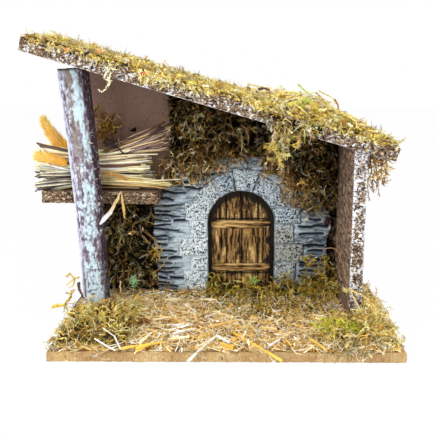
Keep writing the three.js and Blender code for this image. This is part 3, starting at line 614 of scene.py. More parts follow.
def log_skin():
    turn = np.linspace(-np.pi, np.pi, LOG_TURNS, endpoint=False)[None, :] * np.ones((LOG_RISES, 1))
    rise = np.linspace(0, 1, LOG_RISES)[:, None] * np.ones((1, LOG_TURNS))
    height = rise * (log_high[2] - log_low[2])
    radius = FOOT_RADIUS + (TOP_RADIUS - FOOT_RADIUS) * rise
    spot = np.stack([14 * np.sin(turn), -14 * np.cos(turn), height], axis=-1)
    twist = spot + 2.2 * wave(spot, (9, 9, 12), 61)[..., None]
    streak = rubble(spot, (2.0, 2.0, 18), 3, seed=3)
    flake = rubble(twist, (8, 8, 11), 5, seed=8)
    fine = rubble(spot, (1.6, 1.6, 3.0), 2, seed=14)
    dot = wave(spot, (1.3, 1.3, 1.5), seed=21)
    high_up = smooth(height, 110, 185)
    centre = 0.22 + 0.2 * high_up + 0.12 * np.sin(height / 19)
    band = np.exp(-((turn - centre) / (0.62 - 0.3 * high_up)) ** 2)
    patch = 0.95 * band + 0.6 * flake + 0.25 * streak + 0.3 * fine - 0.08 + 0.16 * np.cos(height / 17)
    patch = patch + 0.46 * smooth(-height, -75, -20)
    wash = smooth(patch, 0.3, 0.95)
    fleck = smooth(dot + 0.7 * fine + 0.3 * flake, 0.3, 0.75) * (0.85 - 0.35 * high_up)
    crack = np.exp(-(wave(twist, (10, 10, 4), seed=31) / 0.08) ** 2) * smooth(flake, -0.3, 0.2) * (1
        - high_up)
    relief = 0.3 * streak + 0.3 * wash + 0.2 * fleck - 0.4 * crack * wash - 0.35
    rim = smooth(rise, 0.985, 1)
    relief = relief - rim * (0.3 + 0.5 * smooth(dot, -0.2, 0.6))
    points = log_place(turn, rise, radius + relief)
    points[-1, :, 2] -= 1.1 * smooth(wave(spot[-1], (3, 3, 3), 5), -0.2, 0.8)
    # The log's left side is painted lighter, as a highlight, and its right side darker, as shade, with less
    # wash on it.
    lit_left_side = smooth(-turn, 0.2, 0.75) * smooth(turn, -2.4, -1.8)
    shaded_right_side = smooth(turn + 0.15 * flake, 0.6, 0.85) * smooth(-turn, -2.6, -2.0)
    tone = blend("#6a5a63", "#a79fb0", smooth(0.5 * streak + 0.6 * fine, -0.6, 0.5))
    tone = coats(tone, ("#92877f", high_up * smooth(-np.abs(turn + 0.15), -0.5, -0.15) * 0.85), ("#ccc9e2",
        lit_left_side * smooth(streak + 0.6 * fine, -0.8, 0.3) * 0.9), ("#e9f0fd", smooth(-turn, 0.75, 1.15)
        * lit_left_side * 0.8), ("#3b2630", shaded_right_side * 0.92))
    thin = 0.72 + 0.28 * smooth(fine, -0.5, 0.2)
    tone = coats(tone, ("#cfe8f3", np.clip(wash * thin * (1 - 0.85 * crack) * (1 - 0.8 * shaded_right_side), 0, 1)),
        ("#e6eef6", np.clip(fleck, 0, 1) * 0.8 * (1 - 0.55 * shaded_right_side)))
    chip = smooth(wave(spot, (3.6, 3.6, 1.4), 44), 0.62, 0.8) * smooth(-np.abs(height - 120), -75, -40)
    tone = blend(tone, "#ece3cd", chip * 0.9)
    grime = smooth(rubble(twist, (3.0, 3.0, 5.0), 3, 71), 0.35, 0.8) * (1 - wash * 0.6)
    tone = coats(tone, ("#4c3a3e", 0.6 * grime), ("#3b2628", np.maximum(crack * wash * 0.8, rim)))
    return points, tone


def close_tube(points, tones):
    """The rings of a tube as a mesh with closed ends."""
    rises, turns = points.shape[:2]
    i, j = np.meshgrid(np.arange(rises - 1), np.arange(turns), indexing="ij")
    near, far = i * turns + j, i * turns + (j + 1) % turns
    quads = np.stack([near, far, far + turns, near + turns], axis=-1).reshape(-1, 4)
    ends = [points[0].mean(0), points[-1].mean(0)]
    all_points = np.concatenate([points.reshape(-1, 3), ends])
    first, last = rises * turns, rises * turns + 1
    ring = np.arange(turns)
    after = (ring + 1) % turns
    low_fan = columns(np.full(turns, first), after, ring)
    top = (rises - 1) * turns
    high_fan = columns(np.full(turns, last), top + ring, top + after)
    all_tones = np.concatenate([tones.reshape(-1, 3), [tones[0].mean(0), tones[-1].mean(0)]])
    return all_points, np.concatenate([halves(quads), low_fan, high_fan]), all_tones


make_piece("bark_log", close_tube(*log_skin()), bark_wash, ["left_post"])
print("log leans", round(math.degrees(LOG_LEAN), 1), "degrees")

# %% [markdown]
# ## The cast stone front
# One thin casting: coral-like dressed stones round an arch, and rough slate courses beside them, pale blue-
# grey with a dark wash in every hollow. A casting is a height over a flat back, so one height field inside
# an outline gives both the relief and the wash.

# %% Outlines and lattices
def arch_line(radius):
    angles = np.linspace(0, np.pi, 40)
    arc = columns(radius * np.cos(angles), SPRING + radius * np.sin(angles))
    return np.concatenate([[(radius, 0)], arc, [(-radius, 0)]])


def inside(x, z, outline):
    odd = np.zeros(x.shape, bool)
    for (x0, z0), (x1, z1) in zip(outline, np.roll(outline, -1, axis=0)):
        if z0 != z1:
            crosses = (z0 > z) != (z1 > z)
            odd ^= crosses & (x < (x1 - x0) * (z - z0) / (z1 - z0) + x0)
    return odd


def nearest(points, outline):
    """The closest place on the outline for each point, and how far it is."""
    best = np.full(len(points), np.inf)
    spot = np.array(points)
    for a, b in zip(outline, np.roll(outline, -1, axis=0)):
        way = b - a
        share = np.clip((points - a) @ way / max(way @ way, 1e-9), 0, 1)
        place = a + share[:, None] * way
        far = np.linalg.norm(points - place, axis=1)
        closer = far < best
        best = np.where(closer, far, best)
        spot[closer] = place[closer]
    return spot, best


def lattice_over(outline, spacing):
    low, high = outline.min(0), outline.max(0)
    counts = np.ceil((high - low) / spacing).astype(int) + 1
    x = low[0] + spacing * np.arange(counts[0] + 1) - spacing / 2
    z = low[1] + spacing * np.arange(counts[1] + 1) - spacing / 2
    return np.meshgrid(x, z, indexing="ij")


def haze(field, passes):
    for _ in range(passes):
        padded = np.pad(field, 1, mode="edge")
        across = padded[:-2, 1:-1] + padded[2:, 1:-1] + padded[1:-1, :-2] + padded[1:-1, 2:]
        field = (across + 2 * field) / 6
    return field


# %% A relief: heights over a flat back, with closed sides
def relief(outline, x, z, height, tones, place):
    """The lattice inside an outline, raised by its height and closed behind. place puts it into space."""
    middle_x, middle_z = (x[:-1, :-1] + x[1:, 1:]) / 2, (z[:-1, :-1] + z[1:, 1:]) / 2
    i, j = np.nonzero(inside(middle_x, middle_z, outline))
    rows = x.shape[1]
    near = i * rows + j
    quads = np.stack([near, near + rows, near + rows + 1, near + 1], axis=-1)
    used, index = np.unique(quads, return_inverse=True)
    quads = index.reshape(-1, 4)
    edges = np.stack([quads, np.roll(quads, -1, axis=1)], axis=-1).reshape(-1, 2)
    keys = edges[:, 0] * len(used) + edges[:, 1]
    backward = edges[:, 1] * len(used) + edges[:, 0]
    rim = edges[~np.isin(keys, backward)]
    flat = columns(x.ravel()[used], z.ravel()[used])
    on_rim = np.unique(rim)
    flat[on_rim] = nearest(flat[on_rim], outline)[0]
    front = place(flat[:, 0], flat[:, 1], height.ravel()[used])
    back = place(flat[on_rim, 0], flat[on_rim, 1], np.zeros(len(on_rim)))
    to_back = np.full(len(used), -1)
    to_back[on_rim] = len(used) + np.arange(len(on_rim))
    sides = columns(rim[:, 1], rim[:, 0], to_back[rim[:, 0]], to_back[rim[:, 1]])
    follow = {}
    for start, end in rim:
        follow.setdefault(start, []).append(end)
    lid = []
    while follow:
        loop = [next(iter(follow))]
        while True:
            ends = follow[loop[-1]]
            step = ends.pop()
            if not ends:
                del follow[loop[-1]]
            if step == loop[0]:
                break
            loop.append(step)
        corners = [Vector((*flat[k], 0)) for k in loop]
        lid += [[to_back[loop[k]] for k in corner] for corner in geometry.tessellate_polygon([corners])]
    lid = np.array(lid)
    points = np.concatenate([front, back])
    a, b, c = (points[lid[:, k]] for k in range(3))
    faces_front = np.cross(b - a, c - a)[:, 1] < 0
    lid[faces_front] = lid[faces_front][:, ::-1]
    tones = tones.reshape(-1, tones.shape[-1])[used]
    # The sides and back take 0.35 of the front's colour, as painted shade where the relief meets what lies
    # behind it.
    colours = np.concatenate([tones, 0.35 * tones[on_rim]])
    return points, np.concatenate([halves(quads), halves(sides), lid]), colours


# %% Where the stones and the joints are, in millimetres from the arch's foot
ARCH_RADIUS = 34.0
SPRING = 72.5
BACK_Y = box_of("stone_front")[1][1]
CAST_FOOT = box_of("stone_front")[0][2]
arch_x = (box_of("door_leaf")[0][0] + box_of("door_leaf")[1][0]) / 2
COURSE_LEVEL = 7.2
STONE_LEVEL = 8.9
LEFT_QUOINS = [(0.5, 22, 25.5), (22, 38, 18.4), (38, 57.1, 29.9), (57.1, 76, 19), (76, 94, 23)]
RIGHT_QUOINS = [(0.5, 9, 26.3), (9, 31.5, 22.8), (31.5, 50.8, 29.6), (50.8, 72, 20.5), (72, 89, 27)]
WEDGES = [(-34, -9, 20.5), (-9, 20, 23.4), (20, 45, 20.5)]
HAUNCHES = [(-1, 34, 94), (1, 45, 89)]
HAUNCH_DEPTH = 20.5
CAST_EDGE = [(-34, 0), (-86, 0), (-87, 12), (-86.5, 30), (-88.5, 44), (-90, 56), (-89.5, 68), (-88, 80),
    (-88, 93), (-84, 98.2), (-79.6, 99), (-79, 106), (-74.5, 112), (-69, 119), (-60, 128), (-50, 138),
    (-20, 141), (20, 141), (42, 139), (60, 122), (74, 105), (80, 94), (86, 88), (91, 78), (91.5, 68),
    (89, 61), (87, 53), (88, 42), (88.5, 27), (87, 12), (88, 0),]
JOINTS = [(-69.3, -49.9, 115), (-56.3, -40.2, 110), (-79, -56.3, 104.8), (-85.5, -69.3, 97.6), (-88.5, -65,
    92), (-88.6, -72.5, 85.8), (-89.6, -61.7, 80.5), (-89.6, -72.5, 75.1), (-68.2, -56.3, 75.1),
    (-90.6, -72.5, 70.7), (-90.8, -63.9, 65.9), (-91.8, -76.8, 59.7), (-91.9, -77.9, 54.8), (-86, -77, 49.7),
    (-88.4, -67.1, 43.6), (-87.5, -78, 36.8), (-74.5, -61.7, 35.8), (-87.4, -72.5, 30.2), (-87.5, -65, 25.1),
    (-88.6, -70.4, 20), (-88.5, -77.9, 14.5), (-73.6, -60.6, 14.5), (-87.4, -75.8, 9.6), (-85, -66, 5),
    (-46, -12, 124), (-44, -18, 130.5), (20, 42, 127), (22, 46, 133.5), (48.5, 56.8, 105.2), (66, 75, 105.2),
    (52.6, 73, 98.8), (53.7, 67.6, 90.9), (70, 81, 77.3), (59.1, 70.9, 68.6), (71, 88, 69), (60, 84, 61),
    (59.1, 77.5, 50.4), (68.8, 85, 48), (68.8, 84, 42.8), (66, 76, 35.4), (61.3, 69, 31), (61.3, 78, 26.8),
    (61.3, 78, 21.8), (60, 68, 16), (64.5, 76, 8.3), (74, 88, 15), (76, 88, 33),]

# %% How deep a place lies inside the nearest dressed stone
def flat_spot(u, w):
    """Places in a plane, for the noises."""
    return np.stack([u, w, 0 * u], axis=-1)


def stone_inset(u, w):
    """How deep a place lies in its nearest stone and in the next one, and which stone that is."""
    radius = np.hypot(u, w - SPRING)
    angle = np.degrees(np.arctan2(u, w - SPRING))
    opening = np.sqrt(np.maximum(ARCH_RADIUS ** 2 - np.maximum(w - SPRING, 0) ** 2, 0))
    insets = []
    for side, stones in ((-1, LEFT_QUOINS), (1, RIGHT_QUOINS)):
        for low, high, reach in stones:
            across = np.minimum(side * u - opening, ARCH_RADIUS + reach - side * u)
            insets.append(np.minimum(across, np.minimum(w - low, high - w)))
    for start, end, depth in WEDGES:
        along = radius * np.radians(np.minimum(angle - start, end - angle))
        insets.append(np.minimum(along, np.minimum(radius - ARCH_RADIUS, ARCH_RADIUS + depth - radius)))
    for side, start, joint in HAUNCHES:
        along = radius * np.radians(side * angle - start)
        across = np.minimum(radius - ARCH_RADIUS, ARCH_RADIUS + HAUNCH_DEPTH - radius)
        insets.append(np.minimum(np.minimum(along, w - joint), np.where(side * u > 0, across, -50)))
    insets = np.array(insets)
    return insets.max(0), np.sort(insets, axis=0)[-2], insets.argmax(0)


# %% Pits like those of coral
def pocks(u, w, pitch, share, seed):
    depth = np.zeros_like(u)
    column, row = np.floor(u / pitch), np.floor(w / pitch)
    for step_x, step_z in np.ndindex(3, 3):
        cell = np.stack([column + step_x - 1, row + step_z - 1, np.zeros_like(u)], axis=-1)
        place_x = (cell[..., 0] + 0.15 + 0.7 * dice(cell, seed)) * pitch
        place_z = (cell[..., 1] + 0.15 + 0.7 * dice(cell, seed + 1)) * pitch
        radius = pitch * (0.12 + 0.32 * dice(cell, seed + 2)) * (dice(cell, seed + 3) < share)
        squash = 0.7 + 0.6 * dice(cell, seed + 4)
        far = np.hypot((u - place_x) * squash, (w - place_z) / squash)
        depth = np.maximum(depth, smooth(radius - far, -0.16 * pitch, 0.14 * pitch) * (radius > 0))
    return depth


# %% How dark the seam is at each place between stones
def seam_strength(u, w, second, spot):
    """Strong beside the keystone and in the right jamb, faint in the left one, broken elsewhere."""
    angle = np.degrees(np.arctan2(u, w - SPRING))
    over = smooth(w, SPRING + 5, SPRING + 15)
    keystone = over * (1.1 * bell(angle, -9, 4) + 1.0 * bell(angle, 20, 4))
    right_jamb = smooth(u, 32, 36) * smooth(-w, -86, -80)
    broken = smooth(rubble(spot, 7, 2, 19), -0.6, 0.5)
    between = np.maximum(keystone, 0.04 + 0.85 * right_jamb * broken)
    left_jamb = smooth(-u, 30, 36) * smooth(-w, -100, -90)
    # Round the outside of the stones the dark line is partly joint and partly painted shadow, fainter on the
    # left jamb.
    around = (0.35 + 0.6 * smooth(rubble(spot, 8, 2, 23), -0.4, 0.5)) * (1 - 0.5 * left_jamb)
    near_two = smooth(second, -1.6, -0.4)
    return between * near_two + around * (1 - near_two)


# %% The courses beside the stones
def course_field(u, w, spot):
    """The rough courses: their height, joints, painted shadow below each joint, and lumps."""
    groove, shade = np.zeros_like(u), np.zeros_like(u)
    for k, (left, right, level) in enumerate(JOINTS):
        middle, half = (left + right) / 2, (right - left) / 2 + 1.5
        along = (u - middle) / half
        taper = np.sqrt(np.clip(1 - along ** 2, 0, 1))
        line = level + 1.4 * wave(np.stack([u / 11, np.full_like(u, k), u * 0], -1), 1, 17)
        fade = np.where(u < 0, 1.0 - 0.3 * np.clip(along + 0.4, 0, 1.4), 0.85)
        off = (w - line) / (0.5 + 0.75 * taper)
        groove = np.maximum(groove, fade * smooth(taper, 0, 0.6) * np.exp(-off ** 2))
        # Painted shadow: a soft dark band just below each joint, as under the slab above it, and along the
        # fine strata.
        shade = np.maximum(shade, fade * smooth(taper, 0, 0.7) * np.exp(-((w - line + 0.7) / (2.4 * (0.5 + 0.5
            * taper))) ** 2))
    slab = rubble(spot, (9, 3.6, 1), 4, 7)
    strata = smooth(rubble(spot, (13, 2.1, 1), 2, 77), 0.25, 0.8)
    shade = np.maximum(shade, 0.55 * strata)
    height = COURSE_LEVEL + 0.6 * slab - 0.9 * shade - 2.0 * groove
    return height, groove, shade, slab


# %% The height field of the casting
def cast_field(u, w):
    """The height over the casting's back, and the colour."""
    spot = flat_spot(u, w)
    inset, second, stone = stone_inset(u, w)
    ragged = 0.7 * wave(spot, 7, 2) + 0.35 * wave(spot, 2.2, 3) - 0.4
    inset, second = inset + ragged, second + ragged
    field, groove, shade, slab = course_field(u, w, spot)
    numbers = dice(np.stack([stone, stone * 0, stone * 0], -1), 5)
    right_side = smooth(u, -12, 10)
    crowd = 0.62 + 0.3 * wave(spot, 9, 12)
    pits = np.maximum(pocks(u, w, 3.1, 0.4 * crowd, 11), pocks(u + 1.1, w + 0.7, 2.1, 0.4 * crowd, 21))
    coral = smooth(inset, 0.2, 1.2)
    pits = pits * coral
    face = STONE_LEVEL + 0.6 * (numbers - 0.5) + 0.3 * rubble(spot, 8, 3, 13) - 0.6 * pits
    strength = seam_strength(u, w, second, spot)
    face = face - 1.7 * (1 - smooth(inset, -0.3, 2.4)) ** 2 * np.clip(strength + 0.15, 0, 1)
    is_stone = smooth(inset, -0.5, 0.4)
    seam = strength * bell(inset, -0.1, 0.7)
    height = field * (1 - is_stone) + face * is_stone - 1.4 * seam
    # Raised edges are painted lighter: partly dry-brushing, partly a painted highlight where light would
    # catch the top of each slab.
    drybrush_and_highlight = np.clip((height - haze(height, 12)) / 0.45, 0, 1)
    hollow = np.clip((haze(height, 26) - height) / 1.2, 0, 1)
    plaster = smooth(inset, -15, -3) * (1 - 0.75 * shade)
    cloud = rubble(spot, (13, 8, 1), 4, 27)
    level = 0.34 + 0.3 * slab + 0.3 * cloud + 0.4 * plaster - 0.22 * smooth(u, 40, 60)
    slate = blend("#465463", "#bccfd9", np.clip(level, 0, 1))
    slate = coats(slate, ("#dfeaf0", drybrush_and_highlight * 0.8), ("#333f4e", 0.7 * shade))
    grit = pocks(u, w, 2.3, 0.35, 31) * smooth(cloud, 0.1, -0.5)
    slate = blend(slate, "#2a3340", 0.6 * grit)
    left_jamb = smooth(-u, 20, 36)
    pale = blend("#a9bfce", "#eefafe", np.clip(0.4 + 0.4 * rubble(spot, 5, 3, 15) + 0.45 * left_jamb, 0, 1))
    # The stones above the springing are painted darker, as shade under the moss that hangs over the arch.
    pale = pale * (1 - 0.22 * smooth(w, SPRING, SPRING + 28))[..., None]
    warm = smooth(u, 22, 40) * smooth(-w, -84, -60) * (0.4 + 0.5 * numbers)
    pale = blend(pale, "#adb0a4", warm)
    tone = blend(slate, blend(pale, "#f1f8fb", 0.3 * drybrush_and_highlight), is_stone)
    inked = (groove + hollow * 0.5) * (1 - is_stone) + pits * (0.86 + 0.1 * right_side) * is_stone
    tone = blend(tone, "#111824", np.clip(np.maximum(inked, 0.95 * seam), 0, 0.96))
    return height, np.concatenate([tone, coral[..., None]], axis=-1)


# %% Make the casting
def on_front(u, w, height):
    """From the arch's own measures to the cabin's."""
    return columns(arch_x + u, BACK_Y - height, CAST_FOOT + w)


def cast(outline, spacing, field):
    """A relief from its outline and its field of heights and colours."""
    u, w = lattice_over(outline, spacing)
    return relief(outline, u, w, *field(u, w), on_front)


def casting_finish():
    """The mesh's colours, with dark pits where its fourth channel says coral."""
    finish = Finish("washed_plaster", 0.8)
    grain = finish.noise(0.6, 4, 0.7)
    dots = 1 - (finish.pores(1.75) + finish.noise(1.1, 2) * 0.35).step(0.49, 0.57)
    worm = finish.noise(1.9, 3, 0.7).step(0.6, 0.65)
    pit = dots.math("MAXIMUM", dots, worm * 0.9) * finish.tint("Alpha")
    tone = finish.shade(finish.tint(), grain.step(0.25, 0.75) * 0.4 + 0.82)
    finish.colour(finish.mix(pit * 0.96, tone, "#121a26"))
    finish.bump(grain * 0.4 - pit, 0.4, 0.6)
    return finish


front_edge = np.concatenate([arch_line(ARCH_RADIUS)[::-1], CAST_EDGE[1:]])[::-1]
make_piece("cast_stones", cast(front_edge, 0.47, cast_field), casting_finish(), ["stone_front"])
print("casting:", piece_faces["cast_stones"], "faces")

# %% [markdown]
# ## The door
# It belongs to the same casting but is painted as wood: golden planks, near-black gaps, a dark frame, a
# bite where a latch would be, and two battens. Its lattice is finer, because its grain is narrow.

# %% The planks
DOOR_RADIUS = 33.7
GROUND_LEVEL = 4.4
PLANK_LEVEL = 5.6
BATTEN_MIDDLE = (25.8, 71.6)
PLANK_GAPS = [-14.8, 0.6, 17.6]
LOW_CRACKS = [-20.2, -5.9, 5.5, 11.9, 23.3]
HIGH_CRACKS = [-21.2, 5.9, 10.6, 21.4, 27.6]
PLANKS_LEFT, PLANKS_RIGHT = -30.0, 29.5


def grain_of(u, w, seed, along_w=True):
    pitch = (1.7, 9, 1) if along_w else (9, 1.5, 1)
    coarse = (3.4, 26, 1) if along_w else (26, 2.4, 1)
    spot = flat_spot(u, w)
    return 0.85 * rubble(spot, pitch, 2, seed) + 0.45 * wave(spot, coarse, seed + 7)


def wood_tone(grain, dark):
    """Golden wood over brown grain, and a share of near-black that is partly wash and partly painted shade.
    """
    tone = blend("#2c190c", "#a07a48", smooth(grain, -0.75, -0.1))
    tone = blend(tone, "#dcb878", smooth(grain, 0.15, 0.65))
    return blend(tone, "#0f0a07", np.clip(dark, 0, 0.98))


def door_field(u, w):
    spot = flat_spot(u, w)
    bend = 0.45 * wave(spot, (40, 16, 1), 4)
    above = w > BATTEN_MIDDLE[1]
    gap = np.zeros_like(u)
    for edge in PLANK_GAPS:
        gap = np.maximum(gap, 1.15 * bell(u + bend, edge, 0.85))
    for cracks, here in ((LOW_CRACKS, ~above), (HIGH_CRACKS, above)):
        for k, edge in enumerate(cracks):
            fade = smooth(wave(spot, (60, 13, 1), 30 + k), -0.55, 0.25)
            gap = np.maximum(gap, 1.0 * fade * here * np.exp(-((u + 2 * bend - edge) / 0.62) ** 2))
    ragged = 0.5 * wave(spot, (50, 5, 1), 6)
    panel = smooth(u, PLANKS_LEFT - 0.4 + ragged, PLANKS_LEFT + 0.4 + ragged)
    panel = panel * smooth(-u, -PLANKS_RIGHT - 0.4 + ragged, -PLANKS_RIGHT + 0.4 + ragged)
    latch = smooth(np.hypot(u - 28.5, (w - 54.1) * 0.9), 3.4, 4.2)
    low_bite = smooth((w - 33) - 1.1 * (u - 24), -0.8, 0.8) + above + smooth(-w, -31, -28)
    panel = panel * np.clip(latch + above, 0, 1) * np.clip(low_bite, 0, 1)
    radius = np.hypot(u, np.maximum(w - SPRING, 0))
    rim = smooth(radius, ARCH_RADIUS - 11, ARCH_RADIUS - 3)
    grain = grain_of(u, w, 40)
    plank = PLANK_LEVEL + 0.28 * grain - 1.1 * gap
    height = GROUND_LEVEL + 0.1 * grain + (plank - GROUND_LEVEL) * panel
    # Painted shadow: a dark band along the top of the upper batten and under the lower one.
    under = np.exp(-((w - BATTEN_MIDDLE[1] - 5.6) / 1.0) ** 2) + np.exp(-((w - BATTEN_MIDDLE[0] + 6.2)
        / 1.6) ** 2)
    # Painted shade: the planks darken towards the arch's edge and, a little, over the whole top above the
    # upper batten, partly dark wash and partly shade deep in the arch.
    dark = np.maximum(1.0 * gap, 0.9 * under) + 0.8 * (1 - panel) + 0.95 * rim * (0.6 + 0.4 * above)
    dark = dark + 0.2 * above + 0.62 * pocks(u, w * 0.8, 1.8, 0.5, 61) * (0.6 + 0.4 * above)
    dark = dark + 0.45 * smooth(wave(spot, (1.6, 7, 1), 64), 0.35, 0.6)
    tone = wood_tone(grain + 0.3 * wave(spot, (14, 20, 1), 9), dark)
    blush = np.exp(-((u + 24.5) / 2.2) ** 2 - ((w - 56) / 3.4) ** 2) * smooth(grain, -0.4, 0.4)
    tone = blend(tone, "#eab183", 0.8 * blush)
    # The frame round the planks is dark olive-grey, and is painted darker still as shade in its recess.
    frame_tone = blend("#1a1916", "#3d3c34", smooth(grain, -0.3, 0.5))
    tone = blend(tone, frame_tone, (1 - panel) * (1 - rim) * 0.85)
    return height, tone


door_paint = washed_finish("painted_planks", 0.6, 0.6, (1, 1, 6), 0.2, 0.5)
make_piece("door_planks", cast(arch_line(DOOR_RADIUS), 0.42, door_field), door_paint,
    ["door_leaf"])

# %% The two battens
def batten(middle, seed):
    outline = np.array([(-31, -2.0), (-27, -4.1), (-8, -4.6), (14, -4.3), (25.5, -4.4), (27, -2.2),
        (30.3, -1.6), (30.6, 2.6), (26, 4.1), (4, 4.5), (-24, 4.4), (-30.8, 2.4)])
    outline = outline + np.array([0, middle])
    u, w = lattice_over(outline, 0.4)
    grain = grain_of(u, w, seed, along_w=False)
    edge = nearest(columns(u.ravel(), w.ravel()), outline)[1].reshape(u.shape)
    split = np.exp(-((w - middle - 0.6 - 0.7 * wave(np.stack([u, w * 0, w * 0], -1), 9, seed)) / 0.4) ** 2)
    split = split * smooth(-np.abs(u - 4), -17, -9)
    height = 7.2 + 0.25 * grain - 1.2 * (1 - smooth(edge, 0, 1.6)) ** 2 - 0.6 * split
    dark = 0.75 * split + 0.9 * (1 - smooth(edge, 0.0, 0.9)) + 0.5 * smooth(np.abs(u), 23, 31)
    return relief(outline, u, w, height, wood_tone(grain + 0.12, dark), behind_planks)


def behind_planks(u, w, height):
    """Like on_front, but its back lies on the planks."""
    return on_front(u, w, np.where(height > 0, height, PLANK_LEVEL + 0.5))


batten_paint = washed_finish("painted_battens", 0.6, 0.6, (6, 1, 1), 0.2, 0.45)
make_piece("door_batten_lower", batten(BATTEN_MIDDLE[0], 71), batten_paint, ["door_rail_lower"])
make_piece("door_batten_upper", batten(BATTEN_MIDDLE[1], 72), batten_paint, ["door_rail_upper"])
print("door:", piece_faces["door_planks"], "faces")

# %% [markdown]
# ## Small bits by the thousand
# Moss, litter and straw are heaps of small closed bits. Each kind is modelled one unit long, standing on
# its root, and copied by arithmetic: a turn, a size and a place for each copy.

# %% Tubes and templates
Bit = namedtuple("Bit", "points faces rise")


def rings_along(path, radii, sides, flat=1.0):
    along = unit(np.gradient(path, axis=0))
    side = unit(np.cross(along, (0.31, 0.94, 0.17)))
    up = np.cross(along, side) * flat
    angle = np.linspace(0, 2 * np.pi, sides, endpoint=False)[None, :, None]
    ring = np.cos(angle) * side[:, None] + np.sin(angle) * up[:, None]
    return path[:, None] + ring * np.asarray(radii)[:, None, None]


def tube(path, radii, sides=3, flat=1.0):
    """A closed tube along a path, and its rise."""
    rings = rings_along(path, radii, sides, flat)
    rise = np.linspace(0, 1, len(path))[:, None, None] * np.ones((1, sides, 3))
    points, faces, rise = close_tube(rings, rise)
    return points, faces, rise[:, 0]


def place_on(path, at):
    """Where a path is at each share of its steps."""
    t = np.linspace(0, 1, len(path))
    return np.stack([np.interp(at, t, part) for part in path.T], axis=-1)


def leaflet(root, tip, across, thick):
    """A thin pointed body of four corners."""
    points = np.array([root - across, root + across, root + thick, tip])
    return points, np.array([(0, 1, 3), (1, 2, 3), (2, 0, 3), (0, 2, 1)])


def leafy(path, radii, leaves):
    """A bit: a tube along a path, with leaflets. Each has its place, three vectors, and its tip's rise."""
    points, faces, rise = tube(path, radii)
    heap, rises = Heap(), [rise]
    heap.add(points, faces, (0, 0, 0))
    for at, reach, across, thick, gain in leaves:
        root = place_on(path, at)
        heap.add(*leaflet(root, root + reach, across, thick), (0, 0, 0))
        rises.append(np.array([at, at, at, min(1, at + gain)]))
    points, faces, _ = heap.mesh(ground=-1)
    return Bit(points, faces, np.concatenate(rises))


# %% A feather and a curl of moss, a hair, a strip of straw
def feather(seed, pairs=7, spread=0.3, bend=0.4, broad=0.2):
    """A curved stem with leaflets on both sides. Broad ones overlap."""
    rng = seeded(seed)
    t = np.linspace(0, 1, 5)
    path = columns(0.08 * np.sin(5 * t + seed), bend * t ** 2, t - 0.2 * bend * t ** 2)
    leaves = []
    for k, right in np.ndindex(pairs, 2):
        at = 0.12 + 0.84 * (k + 0.5 * rng.random()) / pairs
        reach = spread * math.sin(math.pi * (0.2 + 0.68 * at)) * rng.uniform(0.7, 1.25)
        way = unit(np.array([1.6 * right - 0.8, rng.normal(0.1, 0.35), 0.65]))
        across = broad * reach * unit(np.cross(way, (0, 1, 0)))
        leaves.append((at, reach * way, across, (0, 0.1 * reach, 0), 0.3))
    return leafy(path, 0.032 * (1.15 - t), leaves)


def twig(path, thick, leaves, reach, rng):
    path = path / np.linalg.norm(path, axis=1).max()
    parts = []
    for at in rng.uniform(0.12, 0.98, leaves):
        way = unit(rng.normal(0, 1, 3) + (0, 0, 0.6))
        long = rng.uniform(*reach)
        across = 0.24 * long * unit(np.cross(way, (1, 0, 0)))
        parts.append((at, long * way, across, (0, 0, 0.14 * long), 0.2))
    return leafy(path, thick * (1.1 - 0.8 * np.linspace(0, 1, len(path))), parts)


def hair(seed):
    rng = seeded(seed)
    t = np.linspace(0, 1, 7)
    drift = np.cumsum(rng.normal(0, 0.25, (7, 2)), axis=0) * t[:, None]
    path = columns(drift[:, 0], drift[:, 1] + 0.5 * t ** 2, t * 0.9)
    return twig(path, 0.03, 0, (0, 0), rng)


def curl(seed, sweep, leaves=18, thick=0.05):
    rng = seeded(seed)
    t = np.linspace(0, 1, 8)
    turn = sweep * (t + 0.12 * np.sin(6 * t + seed))
    way = columns(np.sin(turn), 0.4 * np.sin(1.7 * turn + seed), np.cos(turn))
    path = np.concatenate([np.zeros((1, 3)), np.cumsum(way[:-1], axis=0)])
    return twig(path, thick, leaves, (0.09, 0.2), rng)


def strip(seed, width):
    t = np.linspace(0, 1, 3)
    path = columns(0.12 * seeded(seed).normal() * t ** 2, 0 * t, t)
    return Bit(*tube(path, width * np.array([0.8, 1, 0.75]), 4, 0.28))


def needle(bend, half, thick):
    return Bit(*leaflet(np.zeros(3), (0, bend, 1), (half, 0, 0), (0, *thick)), np.array([0, 0, 0, 1.0]))


def curls(first, sweeps, *shape):
    """Hooks of several sweeps, with seeds that count up."""
    return [curl(seed, sweep, *shape) for seed, sweep in enumerate(sweeps, first)]


FEATHERS = [feather(seed) for seed in range(10)]
ROPES = [feather(seed, 10, 0.15, 0.7) for seed in range(50, 58)]
FRONDS = [feather(seed, 11, 0.21, 0.3 + 0.12 * (seed % 6), 0.3) for seed in range(30, 40)]
CURLS = curls(60, (0.9, 1.6, 2.3, 3.0, 1.3, 2.0, 2.7, 3.6, 1.8))
LOOPS = curls(80, (1.8, 2.6, 3.4, 4.2), 26, 0.08)
TWINES = curls(100, (0.8, 1.3, 1.9, 2.6, 3.3), 14, 0.022)
SHAVINGS = curls(90, (0.8, 1.4, 2.0, 2.8, 3.6), 0, 0.035)
STRIPS = [strip(seed, width) for seed, width in enumerate((0.035, 0.05, 0.07, 0.1, 0.06, 0.045))]
HAIRS = [hair(seed) for seed in range(40, 48)]
LEAFLETS = [needle(bend, 0.17, (0.1, 0.05)) for bend in (0.0, 0.2, 0.4)]
BRISTLES = [needle(0.08, 0.05, (0.05, 0.02))]
print("faces of a feather, a curl and a strip:", *(len(kind[0].faces) for kind in (FEATHERS, CURLS, STRIPS)))

